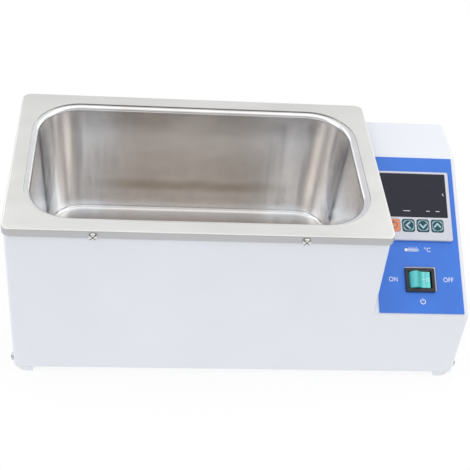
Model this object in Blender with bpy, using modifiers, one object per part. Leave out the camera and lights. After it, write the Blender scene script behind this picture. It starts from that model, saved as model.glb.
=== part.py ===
"""A laboratory water bath, modelled as separate pieces at their real size, in metres with +Z up.

The origin is on the floor under the middle of the body. The front faces -Y, and +X runs from the
tank at the left to the control box at the right.
"""

import math

import bmesh
import bpy
from mathutils import Matrix, Vector

OBJECT_NAME = "laboratory_water_bath"

# Fits and cuts shared by all pieces
SEAT_GAP = 0.0003
OVERRUN = 0.003
WELD_DISTANCE = 0.000005
FLAT_ANGLE = math.radians(1)
SHARP_ANGLE = math.radians(35)

# Casing: the tall tank part, and the control box with its sloped panel
TANK_LENGTH = 0.3375
BODY_DEPTH = 0.2045
RIM_HEIGHT = 0.1805
BOX_DROP = 0.017
BOX_MARGIN = 0.00975
SLOPE_RUN = 0.1465
SLOPE_RISE = 0.08
CASING_SHEET = 0.001
CASING_BEND = 0.004
CASING_BEND_STEPS = 3

# Feet and their screws
FOOT_HEIGHT = 0.0062
FOOT_SIDE = 0.018
FOOT_CORNER = 0.013
FOOT_EDGE = 0.0006
FOOT_HOLE_INSET = 0.0095
FOOT_WELL_DEPTH = 0.0034

# Rim plate over the tank
RIM_SHEET = 0.0008
RIM_PLAY = 0.0012
RIM_SKIRT = 0.008
RIM_CORNER = 0.0082
RIM_BEND = 0.0016
RIM_SCREW_DROP = 0.0053
RIM_SCREW_INSET = 0.07625

# Drawn pan, hung by its flange between the casing and the rim plate
PAN_SIDE_LAND = 0.0182
PAN_FRONT_LAND = 0.0187
PAN_CORNER = 0.0395
PAN_FLOOR = 0.058
PAN_SHEET = 0.0008
PAN_LIP = 0.004
PAN_FLOOR_BEND = 0.0045
PAN_DRAFT = math.radians(3)
PAN_FLANGE = 0.0085
PAN_CLEARANCE = 0.0018
PAN_CORNER_STEPS = 8
PAN_FLOOR_STEPS = 6
PAN_LIP_STEPS = 3

# Heater pack under the pan
HEATER_END = 0.05175
HEATER_SIDE = 0.039
HEATER_THICKNESS = 0.005
HEATER_CORNER = 0.006
STUD_RADIUS = 0.0024
STUD_INSET = 0.04
STUD_TIP = 0.0021
RETAINER_WIDTH = 0.04
RETAINER_THICKNESS = 0.0015
RETAINER_MARGIN = 0.004
HEATER_NUT_RADIUS = 0.0046
HEATER_NUT_HEIGHT = 0.004
PROBE_LENGTH = 0.034
PROBE_STANDOFF = 0.004

# Insulation
WRAP_THICKNESS = 0.011
WRAP_TOP_DROP = 0.014
WRAP_FOOT_RISE = 0.007
PAD_CLEARANCE = 0.0074
PAD_CORNER = 0.012

# Base plate, inside the foot of the casing
BASE_SHEET = 0.001
BASE_LIP = 0.0135
BASE_BEND = 0.002
SIDE_SCREW_INSET = 0.0078
SIDE_SCREW_RISE = 0.0058
VENT_LENGTH = 0.056
VENT_WIDTH = 0.004
VENT_PITCH = 0.0105
VENT_COUNT = 6
VENT_SHIFT = 0.036

# Partition between the tank and the electrics
PARTITION_SHEET = 0.001
PARTITION_OFFSET = 0.003
PARTITION_EDGE = 0.0045
PARTITION_FOOT = 0.01
PARTITION_HOLE_RADIUS = 0.003
PARTITION_HOLE_HEIGHT = 0.053

# Panel overlay on the slope
OVERLAY_SIDE = 0.00485
OVERLAY_END = 0.0033
OVERLAY_FOOT = 0.0026
OVERLAY_THICKNESS = 0.0005
OVERLAY_CORNER = 0.0006

# Temperature controller in the slope
CONTROLLER_SIDE = 0.072
CONTROLLER_DROP = 0.0558
BEZEL_THICKNESS = 0.003
BEZEL_CORNER = 0.0016
BEZEL_EDGE = 0.0005
CASE_STEP = 0.0025
CASE_DEPTH = 0.062
CASE_WALL = 0.0016
CASE_CORNER = 0.0015
WINDOW_SIDE = 0.0035
WINDOW_MARGIN = 0.0025
KEY_BAND = 0.0239
WINDOW_THICKNESS = 0.002
WINDOW_RECESS = 0.0002
WINDOW_CORNER = 0.0006
KEY_NAMES = ("key_set", "key_shift", "key_down", "key_up")
KEY_SIDE = 0.0074
KEY_SPACE = 0.0024
KEY_TOP_SPACE = 0.00265
KEY_HEIGHT = 0.0127
KEY_CORNER = 0.0022
KEY_PROUD = 0.0004
KEY_FLANGE = 0.0008
KEY_FLANGE_LIP = 0.0008
KEY_TRAVEL = 0.0006
BOARD_THICKNESS = 0.0016
BOARD_DROP = 0.007
SENSOR_RADIUS = 0.0022
CLIP_WIDTH = 0.012
CLIP_THICKNESS = 0.003
CLIP_LENGTH = 0.022
CLIP_HOOK = 0.0035

# Power switch in the slope
SWITCH_PLACE = 0.0353
SWITCH_LENGTH = 0.0286
SWITCH_WIDTH = 0.0238
SWITCH_FLANGE = 0.002
SWITCH_CORNER = 0.0012
SWITCH_LIP = 0.001
SWITCH_SIDE_LIP = 0.0014
SWITCH_BODY_DEPTH = 0.022
SWITCH_END_WALL = 0.0021
SWITCH_SIDE_WALL = 0.00215
SWITCH_POCKET_DEPTH = 0.0142
SWITCH_HOLE_SLACK = 0.0014
SWITCH_HOLE_SHIFT = 0.0007
ROCKER_PIVOT_DEPTH = 0.0058
ROCKER_PLAY = 0.0003
ROCKER_VALLEY = 0.0062
ROCKER_THICKNESS = 0.0102
ROCKER_TILT = math.radians(16.5)
TRUNNION_RADIUS = 0.0014
TRUNNION_PLAY = 0.0002
TAB_WIDTH = 0.0048
TAB_THICKNESS = 0.0008
TAB_LENGTH = 0.008
TAB_SPACING = 0.0124

# Mains inlet with its fuse drawer, in the back of the control box
INLET_HEIGHT = 0.048
INLET_FLANGE_LENGTH = 0.05
INLET_FLANGE_HEIGHT = 0.034
INLET_FLANGE_THICKNESS = 0.0025
INLET_FLANGE_CORNER = 0.004
INLET_BODY_LENGTH = 0.028
INLET_BODY_HEIGHT = 0.031
INLET_BODY_DEPTH = 0.024
INLET_BODY_CORNER = 0.002
SOCKET_LENGTH = 0.0242
SOCKET_HEIGHT = 0.016
SOCKET_DEPTH = 0.018
SOCKET_CHAMFER = 0.004
SOCKET_RISE = 0.0052
PIN_WIDTH = 0.002
PIN_HEIGHT = 0.004
PIN_REACH = 0.0142
PIN_TAIL = 0.008
PIN_SPACING = 0.014
PIN_DROP = 0.002
PIN_EARTH_RISE = 0.002
DRAWER_SIDE = 0.0015
DRAWER_COVER = 0.0014
DRAWER_DEPTH = 0.016
DRAWER_DROP = 0.0092
DRAWER_WALL = 0.001
DRAWER_LIP = 0.0009
FUSE_RADIUS = 0.0025
FUSE_LENGTH = 0.02
INLET_SCREW_SPACING = 0.04

# Terminal block and earth screw on the base plate
TERMINAL_LENGTH = 0.038
TERMINAL_DEPTH = 0.022
TERMINAL_HEIGHT = 0.02
TERMINAL_SHIFT = -0.01725
TERMINAL_PITCH = 0.012
TERMINAL_HOLE_RADIUS = 0.0016
TERMINAL_WELL_RADIUS = 0.0026
TERMINAL_WELL_DEPTH = 0.006
TERMINAL_CORNER = 0.001
EARTH_SCREW_INSET = 0.016
EARTH_SCREW_PLACE = 0.0285

# Wires
WIRE_RADIUS = 0.0012
CABLE_RADIUS = 0.0015
WIRE_STEPS = 8
WIRE_REACH_SHARE = 0.42
HEATER_LEAD_SPACING = 0.076

# Screws: head radius, head height, shank radius, shank length
RIM_SCREW = (0.0038, 0.0022, 0.0015, 0.007)
SIDE_SCREW = (0.0037, 0.0024, 0.0018, 0.0055)
FOOT_SCREW = (0.0036, 0.0024, 0.0019, 0.0063)
INLET_SCREW = (0.0028, 0.0018, 0.0014, 0.009)
EARTH_SCREW = (0.0034, 0.0022, 0.0018, 0.0036)
SCREW_HOLE_PLAY = 0.0003
SCREW_STEPS = 12

# Finishes: colour, roughness, metallic
WHITE_PAINT = ((0.83, 0.85, 0.88), 0.32, 0.0)
SATIN_STEEL = ((0.66, 0.65, 0.63), 0.34, 1.0)
DRAWN_STEEL = ((0.62, 0.61, 0.59), 0.26, 1.0)
BRIGHT_STEEL = ((0.72, 0.71, 0.7), 0.2, 1.0)
ZINC_STEEL = ((0.6, 0.61, 0.62), 0.38, 1.0)
BLUE_FILM = ((0.09, 0.24, 0.75), 0.35, 0.0)
GREY_PLASTIC = ((0.68, 0.69, 0.75), 0.45, 0.0)
BLACK_PLASTIC = ((0.02, 0.02, 0.022), 0.4, 0.0)
WHITE_PLASTIC = ((0.82, 0.84, 0.86), 0.4, 0.0)
WINDOW_FILM = ((0.03, 0.035, 0.045), 0.15, 0.0)
ORANGE_KEY = ((0.85, 0.3, 0.16), 0.4, 0.0)
TEAL_KEY = ((0.04, 0.12, 0.14), 0.4, 0.0)
GREEN_ROCKER = ((0.05, 0.6, 0.45), 0.25, 0.0)
BRASS = ((0.78, 0.6, 0.28), 0.3, 1.0)
CERAMIC = ((0.85, 0.83, 0.78), 0.45, 0.0)
WOOL = ((0.72, 0.7, 0.6), 0.95, 0.0)
CAST_ALUMINIUM = ((0.72, 0.73, 0.74), 0.45, 1.0)
BOARD_GREEN = ((0.03, 0.2, 0.08), 0.5, 0.0)
GLASS = ((0.85, 0.9, 0.9), 0.05, 0.0)
RED_WIRE = ((0.6, 0.05, 0.04), 0.5, 0.0)
BLUE_WIRE = ((0.05, 0.12, 0.55), 0.5, 0.0)
GREEN_WIRE = ((0.1, 0.45, 0.12), 0.5, 0.0)
WHITE_WIRE = ((0.8, 0.8, 0.78), 0.5, 0.0)

# Places worked out from the sizes above
BOX_LENGTH = CONTROLLER_SIDE + BOX_MARGIN * 2
BODY_LENGTH = TANK_LENGTH + BOX_LENGTH
LEFT = -BODY_LENGTH / 2
RIGHT = BODY_LENGTH / 2
FRONT = -BODY_DEPTH / 2
BACK = BODY_DEPTH / 2
TANK_RIGHT = LEFT + TANK_LENGTH
TANK_MIDDLE = (LEFT + TANK_RIGHT) / 2
BOX_MIDDLE = (TANK_RIGHT + RIGHT) / 2
BOX_HEIGHT = RIM_HEIGHT - BOX_DROP
FOLD_HEIGHT = BOX_HEIGHT - SLOPE_RISE
SLOPE_ANGLE = math.atan2(SLOPE_RISE, SLOPE_RUN)
SLOPE_LENGTH = math.hypot(SLOPE_RISE, SLOPE_RUN)
CASING_FOOT = FOOT_HEIGHT + SEAT_GAP
RIM_UNDERSIDE = RIM_HEIGHT - RIM_SHEET
PAN_LENGTH = TANK_LENGTH - PAN_SIDE_LAND * 2
PAN_WIDTH = BODY_DEPTH - PAN_FRONT_LAND * 2
PAN_FLANGE_TOP = RIM_UNDERSIDE - SEAT_GAP
CASING_TOP = PAN_FLANGE_TOP - PAN_SHEET - SEAT_GAP
HEATER_LENGTH = PAN_LENGTH - HEATER_END * 2
HEATER_WIDTH = PAN_WIDTH - HEATER_SIDE * 2
STUD_SPACING = HEATER_LENGTH - STUD_INSET * 2
HEATER_TOP = PAN_FLOOR - PAN_SHEET - SEAT_GAP
RETAINER_TOP = HEATER_TOP - HEATER_THICKNESS - SEAT_GAP
NUT_TOP = RETAINER_TOP - RETAINER_THICKNESS - SEAT_GAP
STUD_END = NUT_TOP - HEATER_NUT_HEIGHT - STUD_TIP
STUD_LENGTH = PAN_FLOOR - PAN_SHEET - STUD_END
PROBE_RADIUS = HEATER_THICKNESS / 2
RETAINER_LENGTH = HEATER_LENGTH + (PROBE_STANDOFF + PROBE_RADIUS * 2 + RETAINER_MARGIN) * 2
WRAP_FOOT = PAN_FLOOR + WRAP_FOOT_RISE
WRAP_HEIGHT = RIM_HEIGHT - WRAP_TOP_DROP - WRAP_FOOT
BASE_TOP = CASING_FOOT + BASE_SHEET
PAD_THICKNESS = STUD_END - PAD_CLEARANCE - BASE_TOP - SEAT_GAP
OVERLAY_WIDTH = BOX_LENGTH - OVERLAY_SIDE * 2
OVERLAY_LENGTH = SLOPE_LENGTH - OVERLAY_FOOT - OVERLAY_END
OVERLAY_TOP = SEAT_GAP + OVERLAY_THICKNESS
BEZEL_BASE = OVERLAY_TOP + SEAT_GAP
BEZEL_TOP = BEZEL_BASE + BEZEL_THICKNESS
CONTROLLER_PLACE = SLOPE_LENGTH - CONTROLLER_DROP
CASE_SIDE = CONTROLLER_SIDE - CASE_STEP * 2
WINDOW_WIDTH = CONTROLLER_SIDE - WINDOW_SIDE * 2
WINDOW_HEIGHT = CONTROLLER_SIDE - WINDOW_MARGIN - KEY_BAND
KEY_PITCH = (CONTROLLER_SIDE - KEY_SIDE * 2) / len(KEY_NAMES)
KEY_WIDTH = KEY_PITCH - KEY_SPACE
KEY_PLACE = KEY_BAND - KEY_TOP_SPACE - KEY_HEIGHT / 2
SWITCH_TOP = BEZEL_BASE + SWITCH_FLANGE
SWITCH_BODY_LENGTH = SWITCH_LENGTH - SWITCH_LIP * 2
SWITCH_BODY_WIDTH = SWITCH_WIDTH - SWITCH_SIDE_LIP * 2
SWITCH_POCKET_LENGTH = SWITCH_BODY_LENGTH - SWITCH_END_WALL * 2
SWITCH_POCKET_WIDTH = SWITCH_BODY_WIDTH - SWITCH_SIDE_WALL * 2
SWITCH_TAB_END = SWITCH_BODY_DEPTH + TAB_LENGTH
PIVOT_HEIGHT = SWITCH_TOP - ROCKER_PIVOT_DEPTH
ROCKER_RADIUS = SWITCH_POCKET_LENGTH / 2 - ROCKER_PLAY
INLET_FACE = SEAT_GAP + INLET_FLANGE_THICKNESS
PIN_BASE = INLET_BODY_DEPTH + PIN_TAIL
DRAWER_LENGTH = FUSE_LENGTH + (SEAT_GAP + DRAWER_SIDE) * 2
DRAWER_HEIGHT = (FUSE_RADIUS + SEAT_GAP) * 2 + DRAWER_WALL + DRAWER_COVER
SIDE_SCREW_HEIGHT = CASING_FOOT + SIDE_SCREW_RISE
RIM_SCREW_HEIGHT = RIM_HEIGHT - RIM_SCREW_DROP
RIM_SCREW_PLACES = (
    ("left", LEFT + RIM_SCREW_INSET),
    ("right", TANK_RIGHT - RIM_SCREW_INSET),
)
PROBE_X = TANK_MIDDLE + HEATER_LENGTH / 2 + PROBE_STANDOFF + PROBE_RADIUS
PROBE_HEIGHT = HEATER_TOP - PROBE_RADIUS
TERMINAL_Z = BASE_TOP + SEAT_GAP + TERMINAL_HEIGHT / 2
EARTH_X = RIGHT - EARTH_SCREW_INSET
EARTH_Y = BACK - EARTH_SCREW_PLACE
PARTITION_HOLES = (
    ("front", -HEATER_LEAD_SPACING / 2),
    ("rear", HEATER_LEAD_SPACING / 2),
    ("probe", HEATER_LEAD_SPACING / 7),
)

# Turns that carry a piece's own +Z to the direction named
FACING_FRONT = (math.radians(90), 0, 0)
FACING_BACK = (math.radians(90), 0, math.radians(180))
FACING_RIGHT = (0, math.radians(90), 0)
FACING_LEFT = (0, math.radians(-90), 0)
FACING_DOWN = (math.radians(180), 0, 0)
FACING_UP = (0, 0, 0)
SIDE_VIEW = (math.radians(90), 0, math.radians(90))


def clear_scene():
    for old in list(bpy.data.objects):
        bpy.data.objects.remove(old, do_unlink=True)


def new_collection(name):
    group = bpy.data.collections.new(name)
    bpy.context.scene.collection.children.link(group)
    return group


def new_material(name, finish):
    colour, roughness, metallic = finish
    paint = bpy.data.materials.new(name + "_finish")
    paint.use_nodes = True
    shader = paint.node_tree.nodes["Principled BSDF"]
    shader.inputs["Base Color"].default_value = (*colour, 1.0)
    shader.inputs["Roughness"].default_value = roughness
    shader.inputs["Metallic"].default_value = metallic
    return paint


def place(obj, location, rotation, parent):
    obj.location = location
    obj.rotation_euler = rotation
    obj.parent = parent
    return obj


def add_part(name, data, finish, location=(0, 0, 0), rotation=FACING_UP, parent=None):
    """Put a mesh or a curve into the model as one named piece with its own material."""
    obj = bpy.data.objects.new(name, data)
    data.materials.append(new_material(name, finish))
    parts.objects.link(obj)
    return place(obj, location, rotation, parent)


def add_tool(name, data, location=(0, 0, 0), rotation=FACING_UP, parent=None):
    """Put a mesh into the model as a cutter or a shape to be joined, which isn't a piece."""
    obj = bpy.data.objects.new(name, data)
    obj.hide_render = True
    obj.display_type = "WIRE"
    cutters.objects.link(obj)
    return place(obj, location, rotation, parent)


def add_frame(name, location, rotation):
    """An empty that other pieces are placed on."""
    return add_tool(name, None, location, rotation)


def combine(obj, tool, operation="DIFFERENCE"):
    change = obj.modifiers.new(tool.name, "BOOLEAN")
    change.operation = operation
    change.solver = "EXACT"
    change.object = tool
    return obj


def soften(obj, width, steps=1, angle=SHARP_ANGLE):
    edge = obj.modifiers.new("edges", "BEVEL")
    edge.width = width
    edge.segments = steps
    edge.limit_method = "ANGLE"
    edge.angle_limit = angle
    return obj


def thicken(obj, thickness):
    """Give a skin its sheet thickness on the side away from its normals."""
    sheet = obj.modifiers.new("sheet", "SOLIDIFY")
    sheet.thickness = thickness
    sheet.offset = -1
    sheet.use_even_offset = True
    return obj


def finish_mesh(bm, name, smooth=True):
    mesh = bpy.data.meshes.new(name)
    bm.to_mesh(mesh)
    bm.free()
    if smooth:
        mesh.shade_smooth()
        mesh.set_sharp_from_angle(angle=SHARP_ANGLE)
    return mesh


def settled_mesh(obj, name):
    """The evaluated shape of an object as one welded mesh; the object itself is removed."""
    bpy.context.view_layer.update()
    graph = bpy.context.evaluated_depsgraph_get()
    mesh = bpy.data.meshes.new_from_object(obj.evaluated_get(graph), depsgraph=graph)
    mesh.transform(obj.matrix_world)
    bpy.data.objects.remove(obj, do_unlink=True)
    bm = bmesh.new()
    bm.from_mesh(mesh)
    bmesh.ops.remove_doubles(bm, verts=bm.verts, dist=WELD_DISTANCE)
    return finish_mesh(bm, name)


def block_mesh(name, length, width, height, corner=0, steps=3):
    """A box with its foot at z = 0, and its four upright edges rounded."""
    bm = bmesh.new()
    size = Matrix.Diagonal((length, width, height, 1))
    lift = Matrix.Translation((0, 0, height / 2))
    bmesh.ops.create_cube(bm, size=1, matrix=lift @ size)
    if corner:
        upright = [e for e in bm.edges if e.verts[0].co.xy == e.verts[1].co.xy]
        bmesh.ops.bevel(bm, geom=upright, offset=corner, segments=steps, profile=0.5, affect="EDGES")
    return finish_mesh(bm, name)


def cylinder_mesh(name, radius, height, steps=16):
    """A cylinder with its foot at z = 0."""
    bm = bmesh.new()
    lift = Matrix.Translation((0, 0, height / 2))
    bmesh.ops.create_cone(
        bm, cap_ends=True, segments=steps, radius1=radius, radius2=radius, depth=height, matrix=lift
    )
    return finish_mesh(bm, name)


def outline_mesh(name, points, thickness):
    """A flat outline with the given thickness, centred on z = 0."""
    curve = bpy.data.curves.new(name, "CURVE")
    curve.dimensions = "2D"
    curve.fill_mode = "BOTH"
    curve.extrude = thickness / 2
    line = curve.splines.new("POLY")
    line.points.add(len(points) - 1)
    for knot, (x, y) in zip(line.points, points):
        knot.co = (x, y, 0, 1)
    line.use_cyclic_u = True
    return settled_mesh(add_tool(name, curve), name)


def turned_mesh(name, profile, steps=SCREW_STEPS):
    """A turned shape; the profile's (radius, height) points run down its outer side."""
    mesh = bpy.data.meshes.new(name)
    points = [(radius, 0, height) for radius, height in profile]
    mesh.from_pydata(points, [(i, i + 1) for i in range(len(points) - 1)], [])
    obj = add_tool(name, mesh)
    turn = obj.modifiers.new("turn", "SCREW")
    turn.steps = steps
    turn.render_steps = steps
    turn.use_merge_vertices = True
    turn.merge_threshold = WELD_DISTANCE
    turn.use_smooth_shade = True
    return settled_mesh(obj, name)


def screw_mesh(name, head_radius, head_height, shank_radius, shank_length):
    """A pan-head screw: its head stands on z = 0, its shank runs down, and a cross is sunk in it."""
    shoulder_share, crown_share, slot_share = 0.45, 0.72, 0.2
    profile = [
        (0, head_height),
        (head_radius * crown_share, head_height * (1 + crown_share) / 2),
        (head_radius, head_height * shoulder_share),
        (head_radius, 0),
        (shank_radius, 0),
        (shank_radius, -shank_length + shank_radius),
        (0, -shank_length),
    ]
    screw = add_tool(name + "_blank", turned_mesh(name + "_blank", profile))
    arm = head_radius * crown_share * 2
    depth = head_height * crown_share
    floor = (0, 0, head_height - depth)
    across = add_tool(name + "_slot", block_mesh(name + "_slot", arm, arm * slot_share, head_height))
    along = add_tool(name + "_cross", block_mesh(name + "_cross", arm * slot_share, arm, head_height))
    for slot in (across, along):
        slot.location = floor
        combine(screw, slot)
    mesh = settled_mesh(screw, name)
    for slot in (across, along):
        bpy.data.objects.remove(slot, do_unlink=True)
    return mesh


def skin_edges(bm, wanted):
    """Edges between two faces that meet at an angle, for which wanted(edge) holds."""
    shared = [e for e in bm.edges if len(e.link_faces) == 2]
    return [e for e in shared if e.calc_face_angle() > FLAT_ANGLE and wanted(e)]


def round_edges(bm, edges, radius, steps):
    bmesh.ops.bevel(
        bm, geom=edges, offset=radius, segments=steps, profile=0.5, affect="EDGES", clamp_overlap=False
    )


def rounded_face(bm, length, width, corner, steps):
    """A flat rectangle in z = 0 with round corners, facing up."""
    size = Matrix.Diagonal((length, width, 1, 1))
    bmesh.ops.create_grid(bm, x_segments=1, y_segments=1, size=0.5, matrix=size)
    bmesh.ops.bevel(
        bm, geom=bm.verts[:], offset=corner, segments=steps, profile=0.5, affect="VERTICES"
    )
    return bm.faces[:][0]


def raise_rim(bm, edges, rise, growth=0, centres=(0, 0)):
    """Extrude a closed run of edges by a height, grown about the centres of its four corners."""
    grown = bmesh.ops.extrude_edge_only(bm, edges=edges)["geom"]
    for vert in (g for g in grown if isinstance(g, bmesh.types.BMVert)):
        across = math.copysign(centres[0], vert.co.x)
        along = math.copysign(centres[1], vert.co.y)
        outward = (vert.co - Vector((across, along, vert.co.z))).normalized()
        vert.co += outward * growth + Vector((0, 0, rise))
    return [g for g in grown if isinstance(g, bmesh.types.BMEdge) and g.is_boundary]


def face_outwards(bm, flat_face_points_up):
    """Turn all normals of an open skin so that its largest flat face points the way asked."""
    bmesh.ops.recalc_face_normals(bm, faces=bm.faces)
    largest = max(bm.faces, key=lambda face: face.calc_area())
    if (largest.normal.z > 0) != flat_face_points_up:
        bmesh.ops.reverse_faces(bm, faces=bm.faces)


def tray_mesh(name, length, width, wall, corner, corner_steps, bend, bend_steps):
    """The outer skin of a folded tray: its flat is in z = 0 and its walls run to z = wall."""
    bm = bmesh.new()
    flat = rounded_face(bm, length, width, corner, corner_steps)
    fold = flat.edges[:]
    raise_rim(bm, fold, wall)
    round_edges(bm, fold, bend, bend_steps)
    face_outwards(bm, wall < 0)
    return finish_mesh(bm, name)


def cable(name, stops, radius, finish):
    """A wire in smooth arcs through its stops; a stop is a place and the way the wire runs there."""
    (first_end, first_way), (last_end, last_way) = stops[0], stops[-1]
    inner = [(first_end + first_way * radius, first_way), *stops[1:-1], (last_end - last_way * radius, last_way)]
    points = [first_end]
    for (here, leaving), (there, arriving) in zip(inner, inner[1:]):
        reach = (there - here).length * WIRE_REACH_SHARE
        first, second = here + leaving * reach, there - arriving * reach
        for step in range(WIRE_STEPS):
            t = step / WIRE_STEPS
            u = 1 - t
            points.append(
                here * u**3 + first * (3 * u * u * t) + second * (3 * u * t * t) + there * t**3
            )
    points += [inner[-1][0], last_end]
    curve = bpy.data.curves.new(name, "CURVE")
    curve.dimensions = "3D"
    curve.bevel_depth = radius
    curve.bevel_resolution = 1
    curve.use_fill_caps = True
    line = curve.splines.new("POLY")
    line.points.add(len(points) - 1)
    for knot, point in zip(line.points, points):
        knot.co = (*point, 1)
    return add_part(name, curve, finish)


def arc_points(radius, start, stop, steps):
    """Points on an arc about the origin, both ends included."""
    turns = [start + (stop - start) * i / steps for i in range(steps + 1)]
    return [(radius * math.cos(turn), radius * math.sin(turn)) for turn in turns]


def on_panel(x, along, height):
    """The world place of a point given from the panel's frame at the fold."""
    return panel.matrix_world @ Vector((x, along, height))


def build_casing():
    """One painted sheet shell, open below, with windows for the pan, controller, switch and inlet."""
    length = BODY_LENGTH
    height = CASING_TOP - CASING_FOOT
    solid = add_tool("casing_block", block_mesh("casing_block", length, BODY_DEPTH, height))
    solid.location = (0, 0, CASING_FOOT)
    ahead = OVERRUN / math.cos(SLOPE_ANGLE)
    outline = [
        (FRONT - OVERRUN, FOLD_HEIGHT - ahead * math.sin(SLOPE_ANGLE)),
        (FRONT + SLOPE_RUN, BOX_HEIGHT),
        (BACK + OVERRUN, BOX_HEIGHT),
        (BACK + OVERRUN, CASING_TOP + OVERRUN),
        (FRONT - OVERRUN, CASING_TOP + OVERRUN),
    ]
    over_box = RIGHT - TANK_RIGHT + OVERRUN
    step = add_tool("casing_step", outline_mesh("casing_step", outline, over_box), rotation=SIDE_VIEW)
    step.location = (TANK_RIGHT + over_box / 2, 0, 0)
    combine(solid, step)
    mesh = settled_mesh(solid, "casing_skin")
    bpy.data.objects.remove(step, do_unlink=True)

    bm = bmesh.new()
    bm.from_mesh(mesh)
    bmesh.ops.dissolve_limit(bm, angle_limit=FLAT_ANGLE, verts=bm.verts, edges=bm.edges)
    underside = [f for f in bm.faces if f.normal.z < -math.cos(SLOPE_ANGLE)]
    bmesh.ops.delete(bm, geom=underside, context="FACES")
    round_edges(bm, skin_edges(bm, lambda e: e.is_convex), CASING_BEND, CASING_BEND_STEPS)
    casing = thicken(add_part("casing", finish_mesh(bm, "casing"), WHITE_PAINT), CASING_SHEET)

    margin = (PAN_LIP + PAN_SHEET + SEAT_GAP) * 2
    window = block_mesh(
        "pan_window", PAN_LENGTH + margin, PAN_WIDTH + margin, OVERRUN * 2,
        PAN_CORNER + margin / 2, PAN_CORNER_STEPS,
    )
    combine(casing, add_tool("pan_window", window, (TANK_MIDDLE, 0, CASING_TOP - OVERRUN)))
    cut_controller_window(casing)
    switch = block_mesh(
        "switch_window", SWITCH_BODY_LENGTH + SEAT_GAP * 2, SWITCH_BODY_WIDTH + SEAT_GAP * 2, OVERRUN * 2
    )
    combine(casing, add_tool("switch_window", switch, (0, SWITCH_PLACE, -OVERRUN), parent=panel))
    body = block_mesh(
        "inlet_window", INLET_BODY_LENGTH + SEAT_GAP * 2, INLET_BODY_HEIGHT + SEAT_GAP * 2, OVERRUN * 2,
        INLET_BODY_CORNER + SEAT_GAP,
    )
    combine(casing, add_tool("inlet_window", body, (0, 0, -OVERRUN), parent=inlet))
    for place_name, x in (("left", LEFT), ("right", RIGHT)):
        for depth_name, y in (("front", FRONT + SIDE_SCREW_INSET), ("rear", BACK - SIDE_SCREW_INSET)):
            drill(casing, f"side_hole_{depth_name}_{place_name}", SIDE_SCREW[2],
                  (x - OVERRUN, y, SIDE_SCREW_HEIGHT), FACING_RIGHT)
    for place_name, x in RIM_SCREW_PLACES:
        for depth_name, y in (("front", FRONT), ("rear", BACK)):
            drill(casing, f"rim_hole_{depth_name}_{place_name}", RIM_SCREW[2],
                  (x, y + OVERRUN, RIM_SCREW_HEIGHT), FACING_FRONT)
    for side in (-1, 1):
        drill(casing, f"inlet_hole_{side}", INLET_SCREW[2],
              (side * INLET_SCREW_SPACING / 2, 0, -OVERRUN), FACING_UP, inlet)
    return casing


def drill(obj, name, shank_radius, location, rotation, parent=None):
    """Cut a screw hole through one sheet; the tool stands on its place and is two overruns long."""
    hole = cylinder_mesh(name, shank_radius + SCREW_HOLE_PLAY, OVERRUN * 2, SCREW_STEPS)
    combine(obj, add_tool(name, hole, location, rotation, parent))


def cut_controller_window(obj):
    """Cut the window for the controller's case through the slope or the overlay on it."""
    side = CASE_SIDE + SEAT_GAP * 2
    hole = block_mesh(obj.name + "_controller_window", side, side, OVERRUN * 2, CASE_CORNER + SEAT_GAP)
    combine(obj, add_tool(hole.name, hole, (0, CONTROLLER_PLACE, -OVERRUN), parent=panel))


def build_rim_plate():
    length = TANK_LENGTH + (RIM_PLAY + RIM_SHEET) * 2
    width = BODY_DEPTH + (RIM_PLAY + RIM_SHEET) * 2
    skin = tray_mesh("rim_plate", length, width, -RIM_SKIRT, RIM_CORNER, 5, RIM_BEND, 3)
    rim = thicken(add_part("rim_plate", skin, SATIN_STEEL, (TANK_MIDDLE, 0, RIM_HEIGHT)), RIM_SHEET)
    margin = (PAN_LIP + PAN_CLEARANCE) * 2
    opening = block_mesh(
        "rim_opening", PAN_LENGTH + margin, PAN_WIDTH + margin, OVERRUN * 2,
        PAN_CORNER + margin / 2, PAN_CORNER_STEPS,
    )
    combine(rim, add_tool("rim_opening", opening, (TANK_MIDDLE, 0, RIM_HEIGHT - OVERRUN)))
    for place_name, x in RIM_SCREW_PLACES:
        for depth_name, y in (("front", FRONT), ("rear", BACK)):
            drill(rim, f"skirt_hole_{depth_name}_{place_name}", RIM_SCREW[2],
                  (x, y + OVERRUN, RIM_SCREW_HEIGHT), FACING_FRONT)


def build_pan():
    """The drawn pan: floor, walls with a slight draft, rolled lip and flat flange, and two studs."""
    depth = PAN_FLANGE_TOP - PAN_FLOOR
    draft = depth * math.tan(PAN_DRAFT)
    centres = (PAN_LENGTH / 2 - PAN_CORNER, PAN_WIDTH / 2 - PAN_CORNER)
    floor_length, floor_width = PAN_LENGTH - draft * 2, PAN_WIDTH - draft * 2
    bm = bmesh.new()
    floor = rounded_face(bm, floor_length, floor_width, PAN_CORNER - draft, PAN_CORNER_STEPS)
    heel = floor.edges[:]
    mouth = raise_rim(bm, heel, depth, draft, centres)
    raise_rim(bm, mouth, 0, PAN_LIP + PAN_SHEET + PAN_FLANGE, centres)
    round_edges(bm, heel, PAN_FLOOR_BEND, PAN_FLOOR_STEPS)
    lip = skin_edges(bm, lambda e: min(v.co.z for v in e.verts) > depth - PAN_LIP)
    round_edges(bm, lip, PAN_LIP, PAN_LIP_STEPS)
    face_outwards(bm, True)
    pan = add_part("tank_pan", finish_mesh(bm, "tank_pan"), DRAWN_STEEL, (TANK_MIDDLE, 0, PAN_FLOOR))
    thicken(pan, PAN_SHEET)
    for side in (-1, 1):
        root = PAN_SHEET / 2
        stud = cylinder_mesh(f"stud_{side}", STUD_RADIUS, STUD_LENGTH + root, SCREW_STEPS)
        foot = (TANK_MIDDLE + side * STUD_SPACING / 2, 0, STUD_END)
        combine(pan, add_tool(stud.name, stud, foot), "UNION")


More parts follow.
